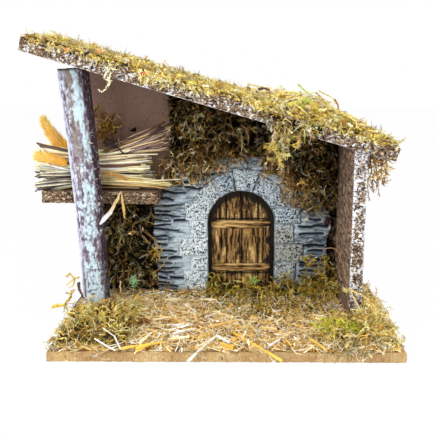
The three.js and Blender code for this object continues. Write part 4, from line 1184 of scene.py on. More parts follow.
# %% Copy the bits
def strew(heap, bits, roots, aims, sizes, root_tone, tip_tones, rng, gamma=0.8, droop=0.0):
    """Copies of the bits, each from its root along its aim, from the root's tone to its own."""
    kinds = rng.integers(0, len(bits), len(roots))
    rolls = rng.uniform(0, 2 * np.pi, len(roots))[:, None]
    up = unit(aims)
    helper = np.where(np.abs(up[:, 2:]) > 0.9, [[1, 0, 0]], [[0, 0, 1]])
    east = unit(np.cross(helper, up))
    north = np.cross(up, east)
    cosine, sine = np.cos(rolls), np.sin(rolls)
    turn = np.stack([cosine * east + sine * north, cosine * north - sine * east, up], axis=-1)
    for k, bit in enumerate(bits):
        mine = np.nonzero(kinds == k)[0]
        size = sizes[mine, None]
        points = np.einsum("nij,pj->npi", turn[mine], bit.points) * size[..., None]
        points[..., 2] -= droop * size * bit.rise ** 2
        points += roots[mine, None]
        faces = bit.faces + (np.arange(len(mine)) * len(bit.points))[:, None, None]
        # Each bit runs from its root's tone to its own; for moss the dark roots are partly its own brown and
        # partly painted shade deep in the clump.
        share = bit.rise[:, None] ** gamma
        tones = linear(root_tone) * (1 - share) + tip_tones[mine, None] * share
        heap.add(points, faces, tones.reshape(-1, 3))


def pick_tones(palette, count, rng, spread=0.16):
    """A tone for each bit, a little lighter or darker than written."""
    tones = np.array([paint(code) for code, _ in palette])
    weights = np.array([weight for _, weight in palette], float)
    chosen = tones[rng.choice(len(tones), count, p=weights / weights.sum())]
    return chosen * rng.normal(1, spread, (count, 1)).clip(0.5, 1.6)


def spray(heap, bits, roots, spread, lean, size, root, tones, rng, gamma=0.8, droop=0.0, shake=0.16):
    """Bits along one lean, with a spread, in the tones of a palette."""
    count = len(roots)
    aims = rng.normal(0, 1, (count, 3)) * spread + lean
    sizes = rng.uniform(*size, count)
    strew(heap, bits, roots, aims, sizes, root, pick_tones(tones, count, rng, shake), rng, gamma, droop)


# %% A strand along given places
def curve_through(places, steps=9):
    places = np.array(places, float)
    ends = np.concatenate([[2 * places[0] - places[1]], places, [2 * places[-1] - places[-2]]])
    t = np.linspace(0, 1, steps, endpoint=False)[:, None]
    parts = []
    for a, b, c, d in zip(ends, ends[1:], ends[2:], ends[3:]):
        bend, twist = 2 * a - 5 * b + 4 * c - d, 3 * b - a - 3 * c + d
        parts.append(0.5 * (2 * b + (c - a) * t + bend * t ** 2 + twist * t ** 3))
    return np.concatenate([*parts, places[-1:]])


def strand(heap, places, radius, tone, seed, leaf=1.8, crowd=1.4, shake=0.3):
    """A wavy stem with leaflets on every side, crowd of them per millimetre."""
    rng = seeded(seed)
    path = curve_through(places)
    path[1:-1] += rng.normal(0, shake, path[1:-1].shape)
    tone = linear(tone)
    points, faces, rise = tube(path, radius * (1.1 - 0.5 * np.linspace(0, 1, len(path))), 5)
    heap.add(points, faces, tone * (0.75 + 0.25 * rise[:, None]))
    count = int(np.linalg.norm(np.diff(path, axis=0), axis=1).sum() * crowd)
    roots = place_on(path, rng.random(count))
    tips = tone * rng.normal(1, 0.15, (count, 1)).clip(0.6, 1.3)
    aims = rng.normal(0, 1, (count, 3))
    strew(heap, LEAFLETS, roots, aims, leaf * rng.uniform(0.5, 1.4, count), 0.6 * tone, tips, rng)


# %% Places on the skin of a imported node
def skin_of(node):
    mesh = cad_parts[node].data
    mesh.calc_loop_triangles()
    places = np.empty(3 * len(mesh.vertices))
    index = np.empty(3 * len(mesh.loop_triangles), np.int32)
    mesh.vertices.foreach_get("co", places)
    mesh.loop_triangles.foreach_get("vertices", index)
    return (places.reshape(-1, 3) / MM)[index.reshape(-1, 3)]


def spots_on(node, count, favour, rng):
    """Places spread over a node's skin, and their normals. favour weighs its triangles."""
    corners = skin_of(node)
    cross = np.cross(corners[:, 1] - corners[:, 0], corners[:, 2] - corners[:, 0])
    ways = unit(cross)
    share = np.linalg.norm(cross, axis=1) * np.clip(favour(ways, corners.mean(1)), 0, None)
    picked = rng.choice(len(corners), count, p=share / share.sum())
    u, w = rng.random((2, count, 1))
    u, w = np.where(u + w > 1, 1 - u, u), np.where(u + w > 1, 1 - w, w)
    a, b, c = (corners[picked, k] for k in range(3))
    return a + u * (b - a) + w * (c - a), ways[picked]


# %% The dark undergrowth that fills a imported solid
def split(points, faces):
    """Each triangle as four."""
    edges = np.sort(faces[:, [[0, 1], [1, 2], [2, 0]]], axis=2).reshape(-1, 2)
    ends, index = np.unique(edges, axis=0, return_inverse=True)
    ab, bc, ca = (index.reshape(-1, 3) + len(points)).T
    a, b, c = faces.T
    parts = [(a, ab, ca), (ab, b, bc), (ca, bc, c), (ab, bc, ca)]
    return np.concatenate([points, points[ends].mean(1)]), np.concatenate([np.column_stack(p) for p in parts])


def undergrowth(node, inset, dark, light, splits=2, lumps=1.2, height=1.0):
    """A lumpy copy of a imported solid, sunk below its skin."""
    corners = skin_of(node)
    points, index = np.unique(np.round(corners.reshape(-1, 3), 2), axis=0, return_inverse=True)
    faces = index.reshape(-1, 3)
    for _ in range(splits):
        points, faces = split(points, faces)
    bump = rubble(points, 4.5, 3, 3)
    points = points + normals_of(points, faces) * (lumps * bump - inset)[:, None]
    low = points[:, 2].min()
    points[:, 2] = low + (points[:, 2] - low) * height
    heap = Heap()
    # The undergrowth is painted darker where its lumps sink, as shade between them.
    heap.add(points, faces, blend(dark, light, smooth(bump, -0.4, 0.9)))
    return heap


# %% [markdown]
# ## Moss
# Carpet moss is glued on in clumps, bright on the roof and dark under it. Each clump is a dark undergrowth
# in the imported solid's place with sprigs rooted in it; its darkness is painted shade between the sprigs.
# Dark roots, partly the moss's own brown and partly painted shade, and bright tips give it depth.

# %% The finish and the palettes of moss
def fibre_finish():
    """The mesh's colours under a tangle of pale lines, the level lines of two noises."""
    finish = Finish("moss_fibre", 0.9)
    tangle = 0
    for size, width in ((2.3, 0.09), (3.4, 0.07)):
        off = finish.noise(size, 2, 0.5) - 0.5
        line = 1 - off.math("ABSOLUTE", off).step(0, width)
        tangle = line.math("MAXIMUM", line, tangle)
    grain = finish.noise(1.0, 4, 0.7).step(0.25, 0.75)
    finish.colour(finish.shade(finish.tint(), grain * 0.5 + tangle * 0.6 + 0.5))
    finish.bump(grain + tangle, 0.3, 0.6)
    return finish


moss_finish = fibre_finish()
ROOF_TONES = [("#fff8b8", 5), ("#ffec8c", 4.4), ("#f6d868", 2.6), ("#e4e070", 1.6), ("#fffee4", 3.6),
    ("#cf9f48", 1), ("#8f7230", 1.2), ("#b9743a", 0.2)]
WALL_TONES = [("#c2964e", 4), ("#f0c474", 3), ("#7d5c2c", 2.6), ("#fff0c0", 2.8), ("#4d361a", 2.4),
    ("#a8692e", 0.5), ("#98923f", 1)]
SHADE_TONES = [("#e0b658", 3), ("#ffe08c", 3.6), ("#8f7234", 2), ("#fff6cc", 3.2), ("#50401f", 1.8),
    ("#b07c3e", 0.5)]
FOOT_TONES = [("#e8bc44", 3), ("#ffdc5e", 3.4), ("#c8ba4a", 1.2), ("#fff2a4", 3), ("#dc9a42", 0.7),
    ("#7d6226", 1.8), ("#46330f", 1.2)]
FRONT_TONES = [("#fde68c", 3), ("#f4d668", 2.4), ("#fff2ac", 3), ("#fff9cc", 1.8), ("#dcb04c", 1.6),
    ("#8a6628", 0.8)]
MOUND_TONES = [("#e8bc54", 3), ("#fbdc7c", 3), ("#ffeda4", 2.4), ("#fff8d0", 1.6), ("#b88e3a", 1.8),
    ("#5b441a", 1.2)]
SIDE_TONES = [*WALL_TONES, ("#ebe6d8", 2)]


def facing_out(ways, middles):
    """Moss grows on what faces the viewer, the sides or the sky."""
    return 0.15 + np.clip(-ways[:, 1], 0, 1) + np.clip(ways[:, 2], 0, 1) - 2.0 * (ways[:, 1] > 0.9)


def facing_up(ways, middles):
    return np.where(ways[:, 2] > -0.3, 1.0, 0.0)


def low_down(ways, middles):
    """Dense at the foot and thin above it."""
    return facing_out(ways, middles) * np.clip((31 - middles[:, 2]) / 16, 0.006, 1)


def grow(heap, node, count, tones, root, seed, size, lift, droop, sink, bits, favour=facing_out, gamma=0.8,
        clump=8.0, depth=0.55, least=0.12, most=1.0):
    """Sprigs over a node, in clumps. least and most say how far they lean in and stand off."""
    rng = seeded(seed)
    places, ways = spots_on(node, 2 * count, favour, rng)
    mound = rubble(places, clump, 2, seed)
    order = np.argsort(-mound - 0.55 * rng.normal(size=2 * count))[:count]
    places, ways = places[order], ways[order]
    # light is painted shade: sprigs in the low parts of each clump are darker, by up to depth, and sink
    # deeper.
    light = 1 - depth * (1 - smooth(mound[order], -0.5, 0.9))
    aims = unit(lift * ways + 0.95 * unit(rng.normal(0, 1, ways.shape)))
    inward = np.sum(aims * ways, axis=1, keepdims=True)
    aims = aims + ways * (np.clip(inward, least, most) - inward)
    sizes = size[0] + (size[1] - size[0]) * rng.random(count) ** 1.4
    roots = places - ways * (sink * (1.5 - light) * rng.uniform(0.5, 1.4, count))[:, None]
    patch = wave(places, 19, seed + 9)[:, None] * (-0.1, 0.02, -0.16)
    colours = pick_tones(tones, count, rng) * light[:, None] * (1 + patch)
    strew(heap, bits, roots, aims, sizes, root, colours, rng, gamma, droop)


def moss_piece(name, heap, node=None):
    """A piece of moss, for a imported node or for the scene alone."""
    make_piece(name, heap.mesh(), moss_finish, [node] if node else [], True)


# %% Moss under the roof, beside and behind the casting
def wall_moss(node, count, tones, seed):
    """Short sprigs for the body of a clump, then ropes and curls that stray."""
    # Under the roof the undergrowth and roots are near-black: painted shade deep in the moss.
    heap = undergrowth(node, 4.8, "#020101", "#0b0703")
    grow(heap, node, count, tones, "#050302", seed, (6, 12), 0.5, 0.35, 4.0, FRONDS[:5] + FEATHERS + ROPES
        + TWINES, gamma=1.5, depth=0.9)
    grow(heap, node, 260, tones, "#120b05", seed + 50, (6.6, 16.8), 0.3, 0.4, 1.2, CURLS + TWINES + ROPES,
        gamma=1.0, depth=0.7)
    return heap


def hang(heap, zone, y, count, seed, way, tones):
    """Sprigs before a face, in a zone between two corners in X and Z."""
    rng = seeded(seed)
    (left, low), (right, high) = zone
    x, near = rng.uniform(left, right, count), y + rng.uniform(-2, 2, count)
    roots = columns(x, near, high - (high - low) * rng.random(count) ** 1.4)
    spray(heap, ROPES + CURLS + TWINES, roots, (0.6, 0.25, 0.4), way, (7, 14), "#3a270e", tones, rng, 0.6,
        shake=0.25)


ARCH_BANDS = [(((-68, 126), (-14, 150)), 61, 190, 161, (0.25, -0.3, -0.7)),
    (((-14, 140), (24, 158)), 61, 50, 162, (0, -0.3, -0.7))]
SIDE_BANDS = [(((35, 133), (70, 154)), 61, 140, 163, (-0.3, -0.3, -0.6)),
    (((56, 104), (86, 134)), 61, 130, 164, (-0.35, -0.3, -0.5)),
    (((76, 92), (96, 106)), 60, 50, 166, (-0.4, -0.3, -0.3))]
for name, node, count, tones, seed, bands in (
        ("moss_over_arch", "wall_moss_left", 960, WALL_TONES, 101, ARCH_BANDS),
        ("moss_beside_wall", "wall_moss_right", 880, SIDE_TONES, 102, SIDE_BANDS),
        ("moss_under_loft", "shelf_moss", 520, SHADE_TONES, 103, [])):
    heap = wall_moss(node, count, tones, seed)
    for band in bands:
        hang(heap, *band, WALL_TONES)
    moss_piece(name, heap, node)

# %% A thin clump on the panel beside the log, and near-black moss in the gap behind the wall, as painted shade
def wisps(name, node, bits, roots, spread, lean, size, root, tones, gamma, rng):
    """Sprigs on the panel, as a piece."""
    heap = Heap()
    aims = rng.normal(0, 1, roots.shape) * spread - (0, lean, 0)
    picked = pick_tones(tones, len(roots), rng)
    strew(heap, bits, roots, aims, rng.uniform(*size, len(roots)), root, picked, rng, gamma)
    moss_piece(name, heap, node)


LOFT_CLUMP = box_of("loft_moss")
PANEL_FRONT = box_of("back_panel")[0][1]
WISP_TONES = [("#c4983f", 3), ("#9c722c", 2), ("#f0cc74", 1.4), ("#5f4218", 1.2)]
GAP_SHADE_TONES = [("#1c140b", 6), ("#2e2212", 4), ("#7d6230", 0.8)]
rng = seeded(104)
x, z = rng.normal(LOFT_CLUMP[0][0] + 10, 7, 95), rng.normal(LOFT_CLUMP[0][2] + 12, 8.5, 95)
roots = columns(x, np.full(95, LOFT_CLUMP[1][1] + 0.2), z)
wisps("moss_on_panel", "loft_moss", CURLS + LOOPS, roots, (1, 0.35, 1), 0.35, (7, 12), "#6b4c20", WISP_TONES,
    0.5, rng)

# The gap beside the wall is filled with near-black sprigs: painted shade.
rng = seeded(141)
wall_left = box_of("right_wall")[0][0]
x, z = rng.uniform(wall_left - 21, wall_left - 0.5, 620), rng.uniform(9, 112, 620)
roots = columns(x, np.full(620, PANEL_FRONT + 0.3), z)
wisps("moss_shade_in_gap", None, FEATHERS + ROPES, roots, (0.5, 0.4, 0.7), 0.6, (6, 9.5), "#0a0704", GAP_SHADE_TONES, 1.0,
    rng)
print("moss so far:", sum(piece_faces[name] for name in piece_faces if name.startswith("moss")), "faces")

# %% Moss at the foot of the front, and in its right corner
for name, node, counts, seed in (("moss_at_door", "door_moss", (900, 170), 111),
        ("moss_in_corner", "corner_moss", (520, 110), 112)):
    heap = undergrowth(node, 6.0, "#1c1206", "#6b501c", height=0.42)
    grow(heap, node, counts[0], FOOT_TONES, "#2b1c0a", seed, (5, 10), 0.45, 0.2, 4.0, FRONDS + FEATHERS,
        low_down, 0.45, 6, 0.7)
    grow(heap, node, counts[1], FOOT_TONES, "#4a3714", seed + 50, (7, 12), 0.3, 0.25, 2.0, CURLS, low_down,
        0.5, depth=0.5)
    if node == "corner_moss":
        hang(heap, ((80, 14), (110, 44)), 57, 90, 165, (-0.1, -0.3, 0.5), FOOT_TONES)
    moss_piece(name, heap, node)

# %% [markdown]
# ### The roof's moss
# It is thin on the left and piles up on the right third, where it spills over the edge in a tuft. Three
# pieces share the roof, so that none gets too heavy.

# %% Moss on the roof
ROOF_ROOT = "#bd9a42"


def roof_thick(ways, middles):
    hump = bell(middles[:, 0], 72, 52)
    return facing_up(ways, middles) * (0.12 + 1.7 * hump)


def roof_blanket(ways, middles):
    return facing_up(ways, middles) * np.where(ways[:, 1] < -0.4, 3.0, 1.0)


def crest(ways, middles):
    return (ways[:, 2] > 0.5) * np.interp(middles[:, 0], *CREST) * (1 + 2 * (middles[:, 1] < 8))


def on_top(ways, middles):
    return (ways[:, 2] > 0.7) * 1.0


# how high the moss swells above its node, along X
CREST = ((-120, -70, -50, 24, 44, 84, 100, 132, 148), (0.1, 0.6, 4.2, 4.8, 8.5, 9, 5.5, 5.5, 2))
ROOF_BITS = FRONDS + FEATHERS + ROPES
ROOF_GROWTH = dict(gamma=0.5, least=-0.15, most=0.2)
heap = undergrowth("roof_moss", 2.2, "#6b5220", "#f0d67c", 1, 0.9)
grow(heap, "roof_moss", 1450, ROOF_TONES, ROOF_ROOT, 121, (4.5, 8.5), 0.1, 0.2, 1.0, ROOF_BITS, roof_blanket,
    depth=0.35, **ROOF_GROWTH)
moss_piece("moss_roof_blanket", heap, "roof_moss")
heap = Heap()
grow(heap, "roof_moss", 1800, ROOF_TONES, ROOF_ROOT, 127, (6, 12), 0.1, 0.0, -2.2, FRONDS[:5] + FEATHERS
    + ROPES, on_top, depth=0.4, gamma=0.5, least=-0.06, most=0.1)
moss_piece("moss_roof_top", heap, "roof_moss")
heap = Heap()
for count, seed, stand, depth, bits in ((480, 122, (0.15, 0.3, 0.8), 0.35, ROPES + FRONDS),
        (260, 125, (0.1, 0.4, 0.5), 0.25, CURLS + ROPES)):
    grow(heap, "roof_moss", count, ROOF_TONES, ROOF_ROOT, seed, (6, 12), *stand, bits, roof_thick,
        depth=depth, **ROOF_GROWTH)
rng = seeded(129)
roots = spots_on("roof_moss", 1000, crest, rng)[0]
roots[:, 2] += rng.random(1000) ** 0.6 * np.interp(roots[:, 0], *CREST) - 1
spray(heap, FRONDS + FEATHERS + ROPES[:4], roots, (1, 0.8, 0.2), 0, (6, 11), "#c09a44", ROOF_TONES, rng, 0.5,
    0.2)
moss_piece("moss_roof_pile", heap, "roof_moss")

# %% The fringe along the roof's front edge
FRINGE = ((-147, 9, 0.6), (-110, 16, 0.3), (-57, 17, 1.6), (-24, 11, 0.8), (38, 16, 0.7), (112, 26, 0.25))


def fringe(count=620):
    """Short strands over the front arris, in the clumps named above."""
    rng = seeded(151)
    share = rng.random(40 * count)
    x, z = (roof_corners[3][i] + share * (roof_corners[2][i] - roof_corners[3][i]) for i in (0, 1))
    weight = 0.14 + sum(much * bell(x, middle, spread) for middle, spread, much in FRINGE)
    order = rng.choice(len(x), count, False, weight / weight.sum())
    front = box_of("roof_board")[0][1]
    drop = rng.random(count) ** 2 * 5.5 * weight[order].clip(0, 1.2)
    roots = columns(x[order], front + rng.uniform(-1.0, 4, count) * (drop < 1), z[order] + 1.5 - drop)
    aims = rng.normal(0, 1, (count, 3)) * (1.2, 0.3, 0.35) - (0, 0.45, 0.1)
    sizes = 4 + (1.5 + 2.5 * weight[order].clip(0, 1.5)) * rng.random(count) ** 1.3
    heap, bits = Heap(), FRONDS + FEATHERS + CURLS[:3]
    strew(heap, bits, roots, aims, sizes, ROOF_ROOT, pick_tones(ROOF_TONES, count, rng), rng, 0.5, 0.25)
    return heap


moss_piece("moss_fringe", fringe())

# %% Leaf scraps in the fringe and long blades on the pile
SCRAPS = (((-131, 254), "#e8a573"), ((-127, 251), "#2c2226"), ((-114, 251), "#33282a"), ((-104, 252),
    "#f09a56"), ((-83, 241), "#3a2c2a"), ((-68, 234), "#e8713f"), ((-23, 225), "#2a2430"), ((-16, 223),
    "#fbe6b8"), ((-150, 262), "#8b5a3c"), ((60, 197), "#c98a5a"))
scraps = Heap()
rng = seeded(152)
for (x, z), tone in SCRAPS:
    root = np.array([x, box_of("roof_board")[0][1] - 1.2, z])
    half = unit(rng.normal(0, 1, 3) * (1, 0.2, 0.35)) * rng.uniform(3.5, 6.5) / 2
    for end, wide, thick, shade in ((half, 1.5, 1.2, 1), (-half, 1.3, 1.0, 0.85)):
        scraps.add(*leaflet(root - end, root + end, (0, -0.3, wide), (0, -thick, 0)), shade * linear(tone))
# tone, radius, and the places in X and Z of the long blades on the pile
BLADES = (("#6b4a3c", 1.3, ((29, 219.5), (34, 220.5), (38, 218.5))), ("#c9cf5c", 0.75, ((62, 224), (67, 219),
    (72, 216), (77, 217))), ("#c39a58", 0.6, ((77, 217), (83, 211), (86, 205), (88, 199))), ("#e8cf70", 0.6,
    ((80, 218), (88, 214), (93, 211))), ("#b08446", 0.9, ((93, 211), (96, 206), (97, 199))), ("#f6eea0", 0.7,
    ((46, 223), (50, 220), (55, 217))), ("#e9dc78", 0.8, ((54, 217), (62, 216), (70, 216))), ("#cbd468", 1.0,
    ((62, 207), (69, 212), (75, 208))), ("#bccf62", 0.9, ((66, 205), (70, 210), (76, 206))), ("#fff3b4", 0.8,
    ((51, 209), (60, 212), (67, 210))), ("#f3e48c", 0.5, ((82, 208), (92, 209), (96, 206))), ("#e6d47c", 0.7,
    ((86, 206), (93, 203), (101, 199))), ("#dfd070", 0.6, ((20, 224), (30, 222), (40, 220))), ("#f4e088", 0.6,
    ((96, 200), (104, 197), (112, 192))), ("#d8c860", 0.6, ((70, 214), (80, 213), (90, 208))))
for k, (tone, radius, places) in enumerate(BLADES):
    y = -15 - 2 * (k % 3)
    strand(scraps, [(x, y, z) for x, z in places], radius, tone, 400 + k, 1.2, 0.5, 0.15)
moss_piece("roof_scraps", scraps)

# %% The tufts that hang from the roof
def tuft_shape(ways, middles):
    """A long lobe on the left and a shorter one beside it."""
    x, z = middles[:, 0], middles[:, 2]
    left = bell(x, 46, 9)
    right = bell(x, 69, 9) * smooth(z, 166, 182)
    return (0.03 + left + right) * (ways[:, 1] < 0.6)


heap = undergrowth("roof_moss_tuft", 4.8, "#0d0904", "#4a3614", 1, 0.8)
grow(heap, "roof_moss_tuft", 300, ROOF_TONES, "#5b4218", 123, (4, 9), 0.35, 0.35, 1.4, ROOF_BITS, tuft_shape,
    depth=0.75, clump=5, gamma=0.6, least=0.0)
grow(heap, "roof_moss_tuft", 90, ROOF_TONES, "#9c7c34", 126, (5, 10), 0.3, 0.5, 0.3, CURLS, tuft_shape,
    depth=0.3, least=0.0)
TAILS = ([(42, -31, 178), (43, -32, 168), (46, -32, 161), (48, -31, 155)], [(44, -32, 172), (38, -32, 171),
    (34, -31, 174)], [(45, -32, 167), (51, -32, 165), (55, -31, 167)], [(62, -32, 184), (62, -32, 176),
    (60, -32, 171)], [(55, -31, 188), (54, -32, 180), (52, -32, 174)], [(47, -32, 182), (49, -33, 172),
    (50, -32, 163)])
for k, places in enumerate(TAILS):
    strand(heap, places, 0.45, ("#f6dc7c", "#e2c460", "#fff0a4")[k % 3], 420 + k, 3.2, 4.5)
moss_piece("moss_tuft_front", heap, "roof_moss_tuft")
heap = Heap()
GABLE_TONES = [("#e9cf86", 3), ("#c99a4e", 2), ("#fff0c0", 2.4), ("#8f6b3a", 1.6), ("#f0b45a", 1)]
gable_low, gable_high = box_of("gable_moss")
rng = seeded(124)
roots = gable_low + rng.random((120, 3)) * (gable_high - gable_low)
roots[:, 2] = gable_high[2] - 2 - 26 * rng.random(120) ** 1.7
spray(heap, CURLS + FRONDS, roots, (0.5, 0.5, 0.4), (0, 0, -0.9), (5, 11), "#7d5b28", GABLE_TONES, rng, 0.6)
for k, (x, low_z) in enumerate(((127, 121), (131, 128), (136, 124), (140, 135))):
    strand(heap, [(x, -8, 160), (x + 2, -9, 147), (x - 1, -8, 137), (x + 1, -8, low_z)], 0.55, "#a9783f",
        430 + k, 2.4, 1.6)
moss_piece("moss_tuft_gable", heap, "gable_moss")

# %% Mounds at the foot of the log and of the wall
def before_the_wall(ways, middles):
    return facing_up(ways, middles) * np.clip((-30 - middles[:, 1]) / 12, 0.02, 1)


for name, node, counts, favour, tall, seed, tones, root, depth in (("moss_log_foot", "post_moss", (700, 420),
        facing_up, 1.0, 131, MOUND_TONES, "#3a2a0e", 0.9), ("moss_wall_foot", "wall_foot_moss", (320, 160),
        before_the_wall, 0.55, 132, FRONT_TONES, "#94763a", 0.3)):
    heap = undergrowth(node, 4.2, "#33240c", "#b8923e", 1, height=tall)
    grow(heap, node, counts[0], tones, root, seed, (6, 12), 0.3, 0.2, 2.2, FRONDS + FEATHERS, favour, 0.6,
        depth=depth)
    grow(heap, node, counts[1], FRONT_TONES, "#c49c4a", seed + 50, (9, 17), 0.2, 0.3, 0.4, CURLS[:5] + TWINES
        + ROPES[:4], favour, 0.4, depth=0.25, least=0.0)
    moss_piece(name, heap, node)
print("all moss:", sum(piece_faces[name] for name in piece_faces if name.startswith("moss")), "faces")

# %% [markdown]
# ## Straw
# The armful on the shelf is about two hundred thin hollow stalks, a little bent, round a core painted
# near-black as shade, which keeps the gaps between them deep.

# %% One stalk
straw_finish = washed_finish("straw_gloss", 0.45, 0.7, (6, 1, 1), 0.1, 0.3, 0.45)
STRAW_TONES = [("#fff9d6", 4.4), ("#f8e8b0", 3.6), ("#e2c684", 1.6), ("#a98258", 1), ("#654632", 1.5),
    ("#fffef2", 2.2), ("#c8c6a6", 1.2)]


def stalk(heap, start, end, radius, tone, rng, sag=0.0, sides=6, stations=5, flat=1.0):
    """A hollow stalk, its inside painted dark as shade."""
    t = np.linspace(0, 1, stations)
    start, end = np.array(start, float), np.array(end, float)
    bow = rng.normal(0, 0.012, 3) * np.linalg.norm(end - start)
    path = start + t[:, None] * (end - start) + np.sin(np.pi * t)[:, None] * bow
    path[:, 2] -= sag * np.sin(np.pi * t)
    swell = radius * (1 - 0.15 * t)
    rings = rings_along(path, swell, sides, flat)
    first, last = path[0], path[-1]
    inward = unit(path[1] - path[0]) * 1.5 * radius
    backward = unit(path[-2] - path[-1]) * 1.5 * radius
    rim_in, rim_out = first + 0.62 * (rings[0] - first), last + 0.62 * (rings[-1] - last)
    rings = np.concatenate([[rim_in + inward, rim_in], rings, [rim_out, rim_out + backward]])
    # The inside of each end is painted dark and its rim a little darker: painted shade in the hollow.
    shade = np.ones(len(rings))
    shade[[0, -1]] = 0.12
    shade[[1, -2]] = 0.85
    fade = shade[:, None, None] * rng.normal(1, 0.05, (len(rings), 1, 1)).clip(0.85, 1.15)
    heap.add(*close_tube(rings, fade * np.broadcast_to(linear(tone), (*rings.shape[:2], 3))))


# %% The armful on the shelf
BUNDLES = (-0.86, -0.6, -0.42, 0.0, 0.16, 0.32, 0.62, 0.9)


def sheaf(count=235, seed=201):
    """Stalks that are gripped behind the log and spread towards both ends."""
    rng = seeded(seed)
    low, high = box_of("straw_sheaf")
    middle, half = (low + high) / 2, (high - low) / 2
    heap = Heap()
    t = np.linspace(0, 1, 9)
    # A core painted near-black, as shade deep in the armful between the stalks.
    path = columns(low[0] + 18 + t * (2 * half[0] - 38), middle[1] + 1.5 + 0 * t, middle[2] - 1.6 * t)
    shade_core = rings_along(path, np.full(9, 0.6 * half[1]), 20)
    shade_core[..., 2] = path[:, None, 2] + (shade_core[..., 2] - path[:, None, 2]) * half[2] / half[1]
    heap.add(*close_tube(shade_core, np.broadcast_to(linear("#1f150a"), (*shade_core.shape[:2], 3))))
    tones = pick_tones(STRAW_TONES, count, rng, 0.14)
    for k in range(count):
        depth = math.sqrt(rng.random()) * half[1] * rng.choice((-1, -1, 1))
        level = BUNDLES[rng.integers(len(BUNDLES))] * half[2] + rng.normal(0, 1.1)
        level = level * math.sqrt(max(0.25, 1 - (depth / half[1]) ** 2 * 0.7))
        left = np.array([-half[0] + 1 + 26 * rng.random() ** 1.3, 1.05 * depth, 1.35 * level + rng.normal(0,
            2.6)])
        reach = half[0] - 3 - 9 * (1 + level / half[2]) * 0.5 - 24 * rng.random() ** 1.4
        right = np.array([reach, depth, 1.2 * level + rng.normal(0, 1.5)])
        start, end = middle + left, middle + right
        start[1:] = np.clip(start[1:], low[1:] + 1.2, high[1:] + 1.5)
        end[1:] = np.clip(end[1:], low[1:] + 1.2, high[1:] - 1.2)
        # Stalks low in the armful are painted darker and those on top a little lighter: painted shade and
        # light.
        lift = np.array((start[2] + end[2]) / 2 - middle[2])
        tone = tones[k] * (0.5 + 0.62 * smooth(lift, -half[2], 0.2 * half[2]))
        wide = rng.random() < 0.1
        radius = rng.uniform(1.3, 1.8) if wide else rng.uniform(0.35, 0.95)
        stalk(heap, start, end, radius, tone, rng, 0.4 * level, flat=0.4 if wide else rng.uniform(0.6, 1))
    for tone in pick_tones([("#2b1f1a", 3), ("#59483c", 2), ("#8f8a82", 1), ("#f0e6c8", 1)], 34, rng, 0.1):
        start = np.array([-187 + 14 * rng.random(), rng.uniform(36.5, 41), rng.uniform(121, 141)])
        end = np.array([-150, start[1] + 1, 0.6 * start[2] + 0.4 * 137 + rng.normal(0, 1.5)])
        stalk(heap, start, end, rng.uniform(0.35, 0.7), tone, rng)
    for k in range(34):
        start = np.array([-122 + 16 * rng.random(), rng.uniform(37, 46), 132.5 + rng.normal(0, 1.2)])
        end = np.array([-53 - 16 * rng.random() ** 1.3, start[1] + rng.normal(0, 1), 126.6 + rng.normal(0,
            2.0)])
        tone = pick_tones([("#fff4c0", 3), ("#f3d98a", 2), ("#c99a55", 1.2)], 1, rng)[0]
        stalk(heap, start, end, rng.uniform(0.35, 0.9), tone, rng)
    return heap


# start, end, radius and tone of the stalks that stand out from the rest
SHOWN_STALKS = (((-122, 42, 153), (-66, 42, 156), 0.8, "#fff6cc"), ((-184, 46, 166.5), (-140, 46, 157.5), 1.2,
    "#5a483a"), ((-181, 44, 164), (-140, 44, 155), 0.9, "#705848"), ((-178, 42, 158.5), (-140, 42, 155), 1.1,
    "#f3e6b4"), ((-183, 40, 167), (-172, 38, 156), 0.8, "#fffaf0"), ((-187, 39, 150.7), (-150, 39, 141), 1.0,
    "#fdfaf0"), ((-181, 41, 144), (-150, 41, 142), 1.3, "#b9c0bd"), ((-183, 41, 139), (-148, 41, 140), 1.2,
    "#cfd6c2"), ((-184, 40, 136), (-145, 40, 138.5), 0.9, "#2f231d"), ((-186, 37.5, 120.5), (-167, 38, 134.6),
    0.7, "#4b5158"), ((-170, 36.6, 151), (-166.5, 36.4, 134), 0.45, "#dba78c"), ((-84, 37, 129.7), (-43.5, 38,
    132), 0.5, "#fff6d2"), ((-120, 40, 127.6), (-70, 40, 124.6), 1.0, "#d9b878"), ((-124, 38.6, 124.6),
    (-84, 38.6, 123.2), 0.8, "#8a6a42"))
armful = sheaf()
rng = seeded(203)
for start, end, radius, tone in SHOWN_STALKS:
    stalk(armful, start, end, radius, tone, rng)
make_piece("straw_armful", armful.mesh(), straw_finish, ["straw_sheaf"])

# %% The loose fan on top of it
FAN_TONES = [("#7d5d4c", 2.4), ("#4f3630", 3), ("#e6cc9c", 2.6), ("#2b1c19", 3), ("#9a807c", 1.6), ("#b8975a",
    1.6)]


